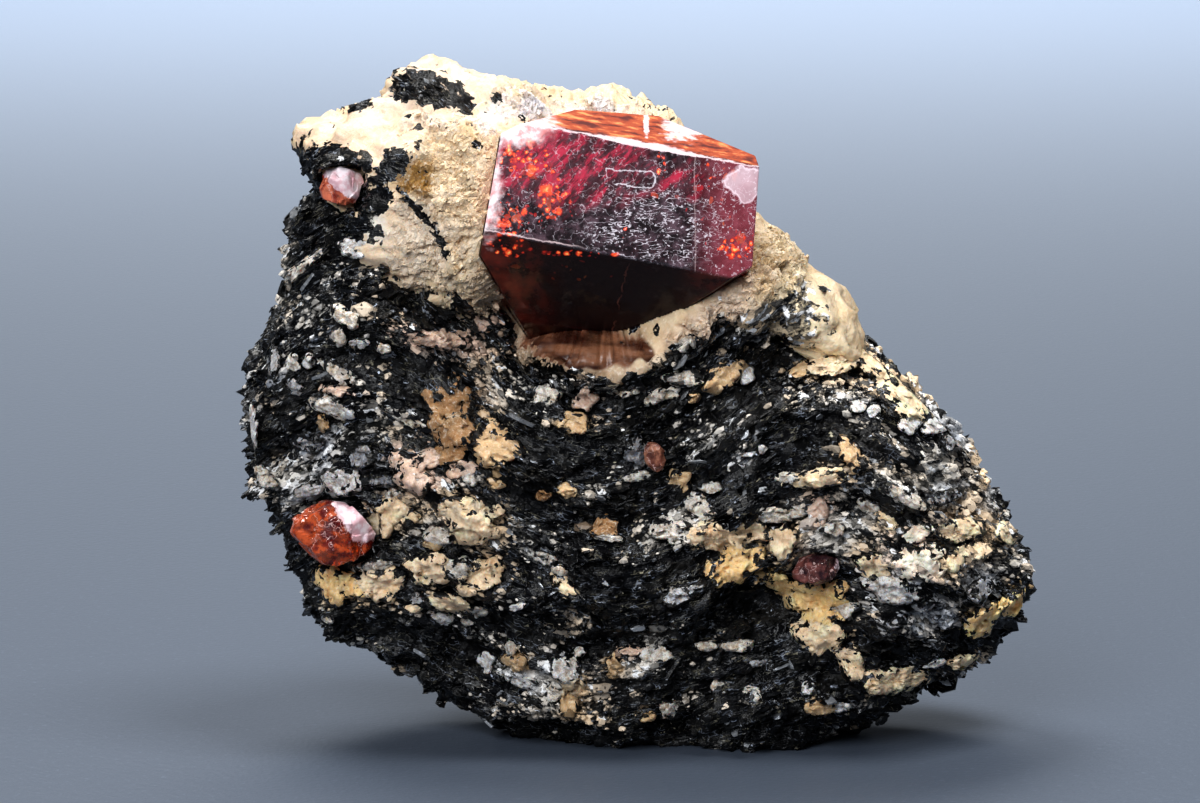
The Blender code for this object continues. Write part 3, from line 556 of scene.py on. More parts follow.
def corner_normals(points, cells):
    """The mean outward normal at each point, from the crossed diagonals of the cells round it."""
    last = cells[:, -1]
    cross = np.cross(points[cells[:, 2]] - points[cells[:, 0]], points[last] - points[cells[:, 1]])
    if cells.shape[1] == 3:
        cross = np.cross(points[cells[:, 1]] - points[cells[:, 0]], points[last] - points[cells[:, 0]])
    total = np.zeros_like(points)
    for axis in range(3):
        total[:, axis] = np.bincount(
            cells.ravel(), np.repeat(cross[:, axis], cells.shape[1]), minlength=len(points)
        )
    return unit(total)


def scatter(points, cells, count, rng, weight):
    """Random places on a surface of quads, as likely as area times weight(place, normal)."""
    corners = np.concatenate([cells[:, [0, 1, 2]], cells[:, [0, 2, 3]]])
    a, b, c = points[corners[:, 0]], points[corners[:, 1]], points[corners[:, 2]]
    cross = np.cross(b - a, c - a)
    chance = np.linalg.norm(cross, axis=1) * weight((a + b + c) / 3, unit(cross))
    pick = np.sort(rng.choice(len(corners), count, p=chance / chance.sum()))
    s, t = np.sqrt(rng.random(count))[:, None], rng.random(count)[:, None]
    place = a[pick] * (1 - s) + b[pick] * s * (1 - t) + c[pick] * s * t
    return place, unit(cross[pick])


def frames_about(normals, along):
    """For each normal, the two unit vectors across it, the first as near as it can be to along."""
    first = along - (along * normals).sum(1, keepdims=True) * normals
    first = unit(first + 1e-9)
    return first, np.cross(normals, first)


HEX = np.arange(6) * math.pi / 3
PLATE_SIDES = [[i, i + 6, (i + 1) % 6 + 6, (i + 1) % 6] for i in range(6)]
PLATE_CELLS = [list(range(6)), list(range(11, 5, -1)), *PLATE_SIDES]
PLATE_CORNERS, GRAIN_CORNERS, BLOCK_CORNERS = 12, 12, 8


def plate_mesh(middles, normals, along, radius, thick, rng):
    """Mica plates: each an uneven hexagon, radius times its own corner shares, given a thickness.
    Corners are middle + r cos t * first + r sin t * second +- half the thickness * normal."""
    first, second = frames_about(normals, along)
    count = len(middles)
    share = rng.uniform(0.72, 1.2, (count, 6, 1)) * radius[:, None, None]
    angle = HEX + rng.normal(0, 0.16, (count, 6))
    narrow = rng.uniform(0.35, 0.9, (count, 1, 1))
    c, s = np.cos(angle)[..., None], np.sin(angle)[..., None]
    ring = share * (c * first[:, None] + narrow * s * second[:, None])
    lift = (normals * thick[:, None] / 2)[:, None]
    corners = middles[:, None, None] + np.stack([ring * 0.94 + lift, ring - lift], 1)
    return corners.reshape(-1, 3), repeat_cells(PLATE_CELLS, count, PLATE_CORNERS)


def repeat_cells(cells, count, corners):
    """A shape's faces for count copies, each with so many corners: (loop corners, loop totals)."""
    loops = np.concatenate(cells)
    totals = np.array([len(cell) for cell in cells])
    return (loops[None] + corners * np.arange(count)[:, None]).ravel(), np.tile(totals, count)


def spread_along(local, first, second, third):
    """Offsets from local coordinates, as shares of three vectors for each copy."""
    return sum(local[..., k:k + 1] * axis[:, None] for k, axis in enumerate((first, second, third)))


def grain_mesh(middles, first, second, third, rng, planes=7):
    """Angular grains: the corners of an icosahedron drawn in to the nearest of a few random planes,
    each 0.55 to 0.95 from the middle, then stretched along three axes."""
    ways, faces = icosahedron()
    count = len(middles)
    normals = unit(rng.normal(size=(count, planes, 3)))
    room = rng.uniform(0.55, 0.95, (count, 1, planes))
    ahead = np.einsum("vk,cpk->cvp", ways, normals)
    reach = np.minimum(np.where(ahead > 0.15, room / np.maximum(ahead, 0.15), 9).min(2), 1.0)
    local = ways[None] * reach[..., None]
    corners = middles[:, None] + spread_along(local, first, second, third)
    return corners.reshape(-1, 3), repeat_cells(faces, count, GRAIN_CORNERS)


BLOCK = np.array([(x, y, z) for z in (-1, 1) for y in (-1, 1) for x in (-1, 1)], float)
BLOCK_CELLS = [[0, 2, 3, 1], [4, 5, 7, 6], [0, 1, 5, 4], [2, 6, 7, 3], [0, 4, 6, 2], [1, 3, 7, 5]]


def block_mesh(middles, first, second, third, rng):
    """Broken cleavage blocks: the corners of a box along three axes, each moved at random."""
    count = len(middles)
    local = BLOCK[None] * rng.uniform(0.45, 1.0, (count, BLOCK_CORNERS, 3))
    corners = middles[:, None] + spread_along(local, first, second, third)
    return corners.reshape(-1, 3), repeat_cells(BLOCK_CELLS, count, BLOCK_CORNERS)


def new_piece(name, points, cells, look, tint=None, smooth=False, **fields):
    """A mesh object at the origin from points in millimetres and cells, as an array of corner
    indices or as (loop corners, loop totals), with its colours and other fields per corner."""
    if isinstance(cells, np.ndarray):
        cells = cells.ravel(), np.full(len(cells), cells.shape[1])
    loops, totals = cells
    starts = np.concatenate([[0], np.cumsum(totals)[:-1]])
    mesh = bpy.data.meshes.new(name)
    mesh.vertices.add(len(points))
    mesh.vertices.foreach_set("co", (points * MM).astype(np.float32).ravel())
    mesh.loops.add(len(loops))
    mesh.loops.foreach_set("vertex_index", loops.astype(np.int32))
    mesh.polygons.add(len(totals))
    mesh.polygons.foreach_set("loop_start", starts.astype(np.int32))
    mesh.polygons.foreach_set("loop_total", totals.astype(np.int32))
    mesh.polygons.foreach_set("use_smooth", np.full(len(totals), smooth))
    mesh.update(calc_edges=True)
    if tint is not None:
        colour = np.concatenate([np.clip(tint, 0, 1), np.ones((len(points), 1))], 1)
        layer = mesh.color_attributes.new("tint", "FLOAT_COLOR", "POINT")
        layer.data.foreach_set("color", colour.astype(np.float32).ravel())
    for field, values in fields.items():
        layer = mesh.attributes.new(field, "FLOAT", "POINT")
        layer.data.foreach_set("value", values.astype(np.float32))
    mesh.materials.append(look)
    piece = bpy.data.objects.new(name, mesh)
    bpy.context.scene.collection.objects.link(piece)
    return piece


def join_arrays(parts):
    """Joins several (points, (loops, totals), tint) sets into one."""
    points, loops, totals, tints, base = [], [], [], [], 0
    for place, (loop, total), tint in parts:
        points.append(place)
        loops.append(loop + base)
        totals.append(total)
        tints.append(tint)
        base += len(place)
    return np.concatenate(points), (np.concatenate(loops), np.concatenate(totals)), np.concatenate(tints)


# ---------------------------------------------------------------- the rock's and cap's skins


@functools.lru_cache(maxsize=None)
def rock_skin(count=190, rows=26, edge=0.96):
    """The rock's skin: a front sheet and a back sheet, each a square grid pressed onto the outline,
    and a band of rows round the rim; then moved along its normals by fine ledges and facets."""
    a, b, cells = grid_square(count)
    angle, radius = square_to_disc(a, b)
    sheet = len(a)
    loop = grid_border(count)
    through = np.linspace(1, -1, rows + 1)[1:-1] * math.sqrt(1 - edge**3)
    band_angle = np.tile(angle[loop], rows - 1)
    band_across = np.repeat((1 - through**2) ** (1 / 3), len(loop))
    band_front = np.repeat(through > 0, len(loop))
    points = np.concatenate([
        rock_form(angle, radius * edge, np.full(sheet, True)),
        rock_form(band_angle, band_across, band_front),
        rock_form(angle, radius * edge, np.full(sheet, False)),
    ])
    back_start = sheet + len(band_angle)
    rings = [loop] + [sheet + row * len(loop) + np.arange(len(loop)) for row in range(rows - 1)]
    rings.append(back_start + loop)
    quads = [cells, cells[:, ::-1] + back_start]
    for near, far in zip(rings[:-1], rings[1:]):
        quads.append(np.stack([near, far, np.roll(far, -1), np.roll(near, -1)], 1))
    quads = np.concatenate(quads)
    normals = corner_normals(points, quads)
    x, y, z = points.T
    layer = layer_height(x, z) + 0.25 * waves(points, 3.0, 31)
    fine = layer / 1.15
    ledge = np.abs(2 * (fine - np.floor(fine + 0.5))) ** 1.4
    facets, _, _ = cleavage(points * (0.8, 1, 1), 1.1, 0.30, 0.16, 32)
    height = -0.42 + 0.28 * (ledge - 0.5) * (1 + 0.6 * waves(points, 4.0, 33)) + facets
    height += 0.10 * waves(points, 0.9, 34)
    stretched = np.stack([x * 0.35, y * 0.35, layer], 1)
    height -= 1.1 * np.clip(waves(stretched, 2.6, 35) - 0.55, 0, 0.8)
    books, crack, _ = cleavage(np.stack([x * 0.55, y * 0.7, layer], 1), 1.5, 0.45, 0.24, 36)
    height += books - 0.45 * np.exp(-crack / 0.16)
    points = points + normals * height[:, None]
    points = push_behind_crystals(points, 0.5)
    points[:, 2] = np.maximum(points[:, 2], 0.0)
    return points, quads


def cap_share(points, spots):
    """1 on these places of the cap's front, falling to 0 round them."""
    share = np.zeros(len(points))
    wobble = 0.22 * waves(points, 2.0, 61)
    for spot in spots:
        share = np.maximum(share, 1.7 - spot_distance(points[:, 0], points[:, 2], *spot[:5]) - wobble)
    share = np.clip(share, 0, 1) * np.clip(0.5 - (points[:, 1] + 1) / 4, 0, 1)
    return share * share * (3 - 2 * share)


@functools.lru_cache(maxsize=None)
def cap_skin(count=104):
    """The feldspar's skin and the wall of the seat inside it: two layers over one sphere of
    directions, joined where the crystal comes through. The skin carries cleavage facets. The last
    array is True for the points of the skin."""
    way, cells = cube_sphere(count)
    inner = zircon_reach(way, CAP_CENTRE, SEAT_GAP)
    reach = cap_reach(way)
    outer = np.maximum(reach - 0.25, inner)
    base = CAP_CENTRE + way * outer[:, None]
    coarse, edge, _ = cleavage(base, 2.0, 0.26, 0.16, 41)
    fine, _, _ = cleavage(base, 0.7, 0.30, 0.07, 42)
    grit = cap_share(base, CAP_GRIT)
    height = coarse + fine * (0.25 + 0.75 * grit) - 0.12 * np.exp(-edge / 0.15)
    height += 0.10 * waves(base, 0.8, 43)
    fade = np.clip((outer - inner) / 0.7, 0, 1)
    front = base + corner_normals(base, cells) * (height * fade)[:, None]
    rough = 0.04 * waves(base, 0.9, 44)
    wall = CAP_CENTRE + way * (inner + np.where(outer > inner + 0.3, rough, 0))[:, None]
    thick = outer > inner
    keep = thick[cells].any(1)
    shared = np.where(thick, np.arange(len(way)) + len(way), np.arange(len(way)))
    cells = np.concatenate([cells[keep], shared[cells[keep]][:, ::-1]])
    points = np.concatenate([front, wall])
    used, index = np.unique(cells, return_inverse=True)
    points = push_behind_crystals(points, 0.0)
    points[: len(way)] = np.where(thick[:, None], points[: len(way)], front)
    points[:, 2] = np.maximum(points[:, 2], 1.0)
    outside = used < len(way)
    return points[used], index.reshape(cells.shape), outside


# ---------------------------------------------------------------- shader building

# How strongly the rock and its mica mirror the light.
ROCK_SHINE = 0.27


class Value:
    """A shader socket: + - * / between two of them, or with a number, add a Math node."""

    def __init__(self, look, socket):
        self.look, self.socket = look, socket

    def math(self, operation, *others):
        """A Math node on this value and others."""
        return self.look.add("ShaderNodeMath", {"operation": operation}, [self, *others])

    def __add__(self, other):
        return self.math("ADD", other)

    def __sub__(self, other):
        return self.math("SUBTRACT", other)

    def __rsub__(self, other):
        return self.look.add("ShaderNodeMath", {"operation": "SUBTRACT"}, [other, self])

    def __mul__(self, other):
        return self.math("MULTIPLY", other)

    def __truediv__(self, other):
        return self.math("DIVIDE", other)

    __radd__, __rmul__ = __add__, __mul__


class Look:
    """A node material in the making, its patterns in millimetres of Object coordinates."""

    def __init__(self, name, colour):
        self.material = bpy.data.materials.new(name)
        self.material.use_nodes = True
        self.material.diffuse_color = (*colour, 1)
        self.tree = self.material.node_tree
        self.tree.nodes.clear()
        place = self.add("ShaderNodeTexCoord", output="Object")
        self.place = self.add("ShaderNodeVectorMath", {"operation": "SCALE"}, {
            "Vector": place, "Scale": 1 / MM})
        axes = self.add("ShaderNodeSeparateXYZ", inputs=[self.place], output=None)
        self.x, self.y, self.z = (Value(self, socket) for socket in axes.outputs)

    def add(self, kind, settings=None, inputs=(), output=0):
        """Any node: its settings first, then each input as a value or a link."""
        node = self.tree.nodes.new(kind)
        for key, value in (settings or {}).items():
            setattr(node, key, value)
        pairs = inputs.items() if isinstance(inputs, dict) else enumerate(inputs)
        for key, value in pairs:
            if isinstance(value, Value):
                self.tree.links.new(value.socket, node.inputs[key])
            else:
                node.inputs[key].default_value = value
        return node if output is None else Value(self, node.outputs[output])

    def noise(self, size, detail, seed, place=None, roughness=0.55, output="Fac"):
        """Cloudy noise whose coarsest swells are about this size."""
        moved = self.shift(place or self.place, seed)
        return self.add("ShaderNodeTexNoise", inputs={
            "Vector": moved, "Scale": 1 / size, "Detail": detail, "Roughness": roughness}, output=output)

    def shift(self, place, seed):
        """The same place, moved by a step of its own for each seed."""
        return self.vector("ADD", place, (seed * 17.3, seed * 5.1, seed * 9.7))

    def warped(self, place, warp, far):
        """A place or a normal, moved by this many times the colour of a noise or a cell."""
        return self.vector("MULTIPLY_ADD", warp, (far,) * 3, place)

    def crystals(self, size, place):
        """Irregular cells of this size: each cell's own colour, and the distance from its middle."""
        cells = self.add("ShaderNodeTexVoronoi", {"feature": "F1"}, {
            "Vector": place, "Scale": 1 / size}, output=None)
        return Value(self, cells.outputs["Color"]), Value(self, cells.outputs["Distance"])

    def cell_edges(self, size, place):
        """Distance from the edges of irregular cells of this size."""
        return self.add("ShaderNodeTexVoronoi", {"feature": "DISTANCE_TO_EDGE"}, {
            "Vector": place, "Scale": 1 / size}, output="Distance")

    def line(self, value, outer, inner):
        """A line where the value is 0: full within inner of it, and gone beyond outer."""
        return self.band(value.math("ABSOLUTE"), outer, inner)

    def blots(self, size, seed):
        """Rounded blots of many sizes, one in each irregular cell: 1 in the middle, falling to 0 and
        below outside."""
        warp = self.noise(size * 0.6, 2, seed, output="Color")
        own, near = self.crystals(size, self.warped(self.shift(self.place, seed), warp, size * 0.7))
        return 1 - near / (0.20 + 0.42 * self.parts(own)[0])

    def polygon(self, x, z, sides):
        """Distance outside a convex form on the front, its sides given as (way in degrees, how far)."""
        out = None
        for way, far in sides:
            turn = math.radians(way)
            side = (self.x - x) * math.cos(turn) + (self.z - z) * math.sin(turn) - far
            out = side.math("MAXIMUM", side if out is None else out)
        return out

    def parts(self, colour):
        """Red, green and blue."""
        node = self.add("ShaderNodeSeparateColor", inputs=[colour], output=None)
        return [Value(self, socket) for socket in node.outputs]

    def vector(self, operation, *vectors):
        """A Vector Math node."""
        return self.add("ShaderNodeVectorMath", {"operation": operation}, vectors)

    def band(self, value, low, high, start=0.0, end=1.0):
        """start below low, end above high, and an S curve between."""
        return self.add("ShaderNodeMapRange", {"interpolation_type": "SMOOTHSTEP"}, {
            "Value": value, "From Min": low, "From Max": high, "To Min": start, "To Max": end})

    def mix(self, factor, first, second, blend="MIX"):
        """The first colour where the factor is 0 and, in a plain mix, the second where it is 1."""
        return self.add("ShaderNodeMix", {"data_type": "RGBA", "blend_type": blend}, {
            0: factor, 6: rgba(first), 7: rgba(second)}, output=2)

    def field(self, name, output="Fac"):
        """A value that the piece carries on its corners."""
        return self.add("ShaderNodeAttribute", {"attribute_name": name}, output=output)

    def layers(self):
        """The rock's layer height as layer_height works it out, as a shader value."""
        fold = FOLD_HEIGHT + FOLD_GROWTH * (self.z / FOLD_SPAN).math("MINIMUM", FOLD_SPANS)
        return self.z - fold * ((self.x - FOLD_CREST) * (2 * math.pi / FOLD_LENGTH)).math("COSINE")

    def stretched(self, along):
        """Coordinates that follow the layers: across them as they are, the others shrunk."""
        return self.add("ShaderNodeCombineXYZ", inputs=[self.x * along, self.y * along, self.layers()])

    def slanted(self, rising, falling):
        """Coordinates along the two diagonals of the front, each with a scale of its own."""
        return self.add("ShaderNodeCombineXYZ", inputs=[
            (self.x + self.z) * rising, self.y, (self.z - self.x) * falling])

    def bump(self, height, distance, strength=1.0):
        """The surface's normal, tipped by a height that is worth this distance where it is 1."""
        return self.add("ShaderNodeBump", inputs={
            "Height": height, "Distance": distance * MM, "Strength": strength}, output="Normal")

    def shader(self, **sockets):
        """A Principled shader; a socket's name has _ for each space."""
        return self.add("ShaderNodeBsdfPrincipled", inputs={
            key.replace("_", " "): value for key, value in sockets.items()})

    def finish(self, surface, volume=None):
        """The material, once its surface and, where it has one, its volume are joined up."""
        inputs = {"Surface": surface}
        if volume:
            inputs["Volume"] = volume
        self.add("ShaderNodeOutputMaterial", inputs=inputs, output=None)
        return self.material


def rgba(colour):
    """A colour as a socket takes it: four numbers, or a link."""
    return colour if isinstance(colour, Value) else (*colour, 1)


def rock_pattern(look, rock):
    """The rock's colour, roughness and relief, alike on its skin, its plates and the dark parts of the
    feldspar: glossy black mica in tilted flakes with thin pale streaks along the layers, partly painted
    highlight, specks painted as glints, and ragged blotches of pale crystals where it is rich, each with
    its own shade and a dark gap round it."""
    tint, pale = look.field("tint", "Color"), look.field("pale")
    warp = look.noise(0.8, 2, 42, output="Color")
    own, near = look.crystals(0.46, look.warped(look.stretched(0.6), warp, 0.9))
    red, green, blue = look.parts(own)
    rich = look.noise(1.3, 5, 1, look.stretched(0.5), 0.65) + pale * 0.37 - red * 0.09 - 0.022
    gap = look.band(near, 0.52, 0.40).math("MAXIMUM", look.band(rich, 0.70, 0.80))
    present = look.band(rich, 0.682, 0.698) * gap
    crystal = look.mix(look.band(green, 0.15, 0.50), (0.13, 0.12, 0.105), tint)
    crystal = look.mix(look.band(blue, 0.74, 0.80), crystal, (0.94, 0.94, 0.94))
    crystal = look.mix(look.band(look.noise(0.22, 2, 3), 0.52, 0.68) * 0.6, crystal, (0.06, 0.05, 0.04))
    flake, _ = look.crystals(1.1, look.warped(look.stretched(0.35), warp, 0.7))
    shade, gloss, _ = look.parts(flake)
    fine = look.noise(0.09, 2, 5, look.stretched(0.09))
    streak = look.band(fine, 0.61, 0.69) * look.band(look.noise(1.3, 3, 6), 0.48, 0.58)
    edge = look.cell_edges(0.5, look.shift(look.warped(look.stretched(0.25), warp, 0.6), 7))
    hair = look.band(edge, 0.045, 0.012) * look.band(look.noise(1.1, 3, 8), 0.49, 0.60)
    # Tiny specks in the mica are painted in a glint colour as glints; the streaks and hairs take the same
    # colour, partly pale layer edges and partly painted highlight.
    painted_glint_specks = look.band(near, 0.20, 0.14) * look.band(blue, 0.86, 0.90)
    glint = look.mix(look.band(red, 0.3, 0.7), (0.46, 0.42, 0.30), (0.60, 0.66, 0.78))
    dark = look.mix(look.band(shade, 0.3, 0.9), rock.mica_colour, (0.015, 0.0145, 0.014))
    dark = look.mix((streak * 0.30 + hair * 0.34 + painted_glint_specks * 0.9).math("MINIMUM", 1), dark, glint)
    tilt = look.vector("SUBTRACT", look.mix(present, flake, own), (0.5, 0.5, 0.5))
    height = look.noise(0.35, 4, 10) + 0.4 * fine + 0.8 * present
    normal = look.vector("NORMALIZE", look.warped(look.bump(height, 0.16), tilt, 0.75))
    rough = look.band(gloss, 0.1, 0.9, 0.07, 0.30) + 0.22 * present
    return look.mix(present, dark, crystal), rough, normal


def rock_shader(look, rock):
    """The rock's pattern as a shader of its own."""
    colour, rough, normal = rock_pattern(look, rock)
    return look.shader(
        Base_Color=colour, Roughness=rough, Specular_IOR_Level=ROCK_SHINE, IOR=1.55, Normal=normal)


def rock_look(rock):
    """The rock's skin."""
    look = Look("biotite_skin", rock.mica_colour)
    return look.finish(rock_shader(look, rock))


def mica_look(rock):
    """Mica plates: the rock's own pattern, with a few bright silvery plates whose pale colour is a painted
    glint.
    """
    look = Look("mica_plates", rock.mica_colour)
    colour, rough, normal = rock_pattern(look, rock)
    silver = look.field("silver")
    colour = look.mix(silver, colour, (0.55, 0.57, 0.60))
    return look.finish(look.shader(
        Base_Color=colour, Roughness=rough, Metallic=silver * 0.6,
        Specular_IOR_Level=ROCK_SHINE, IOR=1.6, Normal=normal))


def grain_look(rock):
    """Quartz and feldspar grains: glassy, each in its own colour, with thin films of mica."""
    look = Look("pale_grains", rock.grain_colour)
    stain = look.noise(0.35, 3, 11) * 0.6
    colour = look.mix(stain, look.field("tint", "Color"), (0.85, 0.80, 0.72), "MULTIPLY")
    film = look.band(look.noise(0.5, 4, 12, roughness=0.65), 0.56, 0.60)
    colour = look.mix(film * 0.9, colour, rock.mica_colour)
    return look.finish(look.shader(
        Base_Color=colour, Roughness=look.band(look.noise(0.3, 2, 14), 0.3, 0.7, 0.18, 0.5),
        Normal=look.bump(look.noise(0.2, 3, 13), 0.05)))


def feldspar_look(name, feldspar, rock, film_size=0.8, fibre=0.2):
    """Feldspar, tinted corner by corner: waxy where it is sound, brown in the pits where it is gritty as a
    painted shade, lighter on its raised grains as a painted highlight, with fine fibres, which a larger
    fibre shortens to a sugary grain, black specks and a glassy brown toe, and overgrown by the rock's mica
    where its film is thick."""
    look = Look(name, feldspar.cream)
    tint, grit, film = look.field("tint", "Color"), look.field("grit"), look.field("film")
    grain = look.noise(0.42, 5, 19, roughness=0.68)
    # The hollows of the grain's bump are painted brown: a painted shade, heavier where the feldspar is
    # gritty.
    pit_shade = look.band(grain, 0.56, 0.34) * (0.15 + 0.85 * grit)
    colour = look.mix(pit_shade * 0.85, tint, (0.50, 0.33, 0.18), "MULTIPLY")
    warm = look.band(look.noise(1.7, 4, 15), 0.45, 0.70)
    colour = look.mix(warm * 0.4, colour, (0.94, 0.80, 0.60), "MULTIPLY")
    # The raised grains are painted lighter, toward cream white: a painted highlight on the tops of the
    # bump.
    colour = look.mix(look.band(grain, 0.54, 0.68) * 0.45, colour, (0.98, 0.90, 0.76))
    fine = look.noise(0.2, 4, 22, look.slanted(fibre, 0.7), 0.7)
    sugar = 0.2 + 0.8 * grit
    colour = look.mix(look.band(fine, 0.50, 0.34) * sugar * 0.7, colour, (0.46, 0.36, 0.27), "MULTIPLY")
    colour = look.mix(look.band(fine, 0.55, 0.68) * sugar * (0.3 + fibre), colour, (0.99, 0.96, 0.90))
    fleck, _ = look.crystals(0.5, look.warped(look.place, look.noise(0.4, 2, 46, output="Color"), 0.5))
    grey = look.band(look.parts(fleck)[1], 0.45, 0.25) * grit * fibre
    colour = look.mix(grey, colour, (0.42, 0.42, 0.44), "MULTIPLY")
    toe = look.band(look.field("toe"), 0.15, 0.5)
    flat = look.add("ShaderNodeCombineXYZ", inputs=[look.x * 0.2, look.y * 0.2, look.z])
    bands = look.band(look.noise(0.8, 3, 45, flat), 0.34, 0.66)
    colour = look.mix(toe, colour, look.mix(bands, (0.045, 0.014, 0.008), (0.25, 0.115, 0.062)))
    specks = look.band(look.noise(0.42, 2, 17), 0.74, 0.77)
    colour = look.mix(specks * 0.85, colour, (0.06, 0.045, 0.03))
    patch, _ = look.crystals(film_size, look.warped(
        look.place, look.noise(0.6, 2, 21, output="Color"), 0.7))
    grown = film + 0.5 * look.noise(film_size, 4, 18) + 0.5 * look.parts(patch)[0]
    height = (grain + 0.8 * fine) * (0.35 + 0.65 * grit) * (1 - 0.8 * toe) + 0.3 * look.noise(1.1, 2, 20)
    rough = look.band(grain, 0.3, 0.7, 0.30, 0.55) + 0.2 * grit - 0.15 * toe
    plain = look.shader(
        Base_Color=colour, Roughness=rough, Specular_IOR_Level=0.35,
        Subsurface_Weight=0.25, Subsurface_Radius=(1.0, 0.6, 0.35),
        Subsurface_Scale=0.0006, Normal=look.bump(height, 0.30))
    return look.finish(look.add("ShaderNodeMixShader", inputs=[
        look.band(grown, 1.00, 1.02), plain, rock_shader(look, rock)]))


def zircon_look(name, zircon, marks):
    """Clear red crystal: plain transmission with absorption, and a veil of frost, fractures and crust over
    it. marks(look) gives (how much, colour, whether it glows) for each mark, the last on top; a glowing
    mark's colour is also emitted as a painted glow."""
    look = Look(name, zircon.colour)
    height = look.noise(2.2, 3, 24) + 0.35 * look.noise(0.5, 2, 25)
    clear = look.shader(
        Base_Color=(1, 1, 1, 1), Roughness=0.03, IOR=zircon.refraction, Transmission_Weight=1.0,
        Specular_IOR_Level=0.2, Normal=look.bump(height, 0.03, 0.5))
    cover, colour, painted_glow = None, None, (0, 0, 0)
    for share, own, painted_glow_on in marks(look):
        if cover is None:
            cover, colour = share, own
        else:
            below = cover
            cover = share + below - share * below
            colour = look.mix(share / (cover + 0.0001), colour, own)
        painted_glow = look.mix(share, painted_glow, own if painted_glow_on else (0, 0, 0))
    veil = look.shader(
        Base_Color=rgba(colour), Roughness=0.38, Specular_IOR_Level=0.3, Emission_Color=rgba(painted_glow),
        Emission_Strength=zircon.fire, Normal=look.bump(look.noise(0.25, 3, 27), 0.02))
    volume = look.add("ShaderNodeVolumeAbsorption", inputs={
        "Color": (*zircon.colour, 1), "Density": zircon.density})
    return look.finish(look.add("ShaderNodeMixShader", inputs=[cover, clear, veil]), volume)


def ellipse(look, x, z, half_x, half_z):
    """Squared distance from a place on the front, as a share of the two half sizes."""
    across, up = (look.x - x) * (1 / half_x), (look.z - z) * (1 / half_z)
    return across.math("POWER", 2) + up.math("POWER", 2)


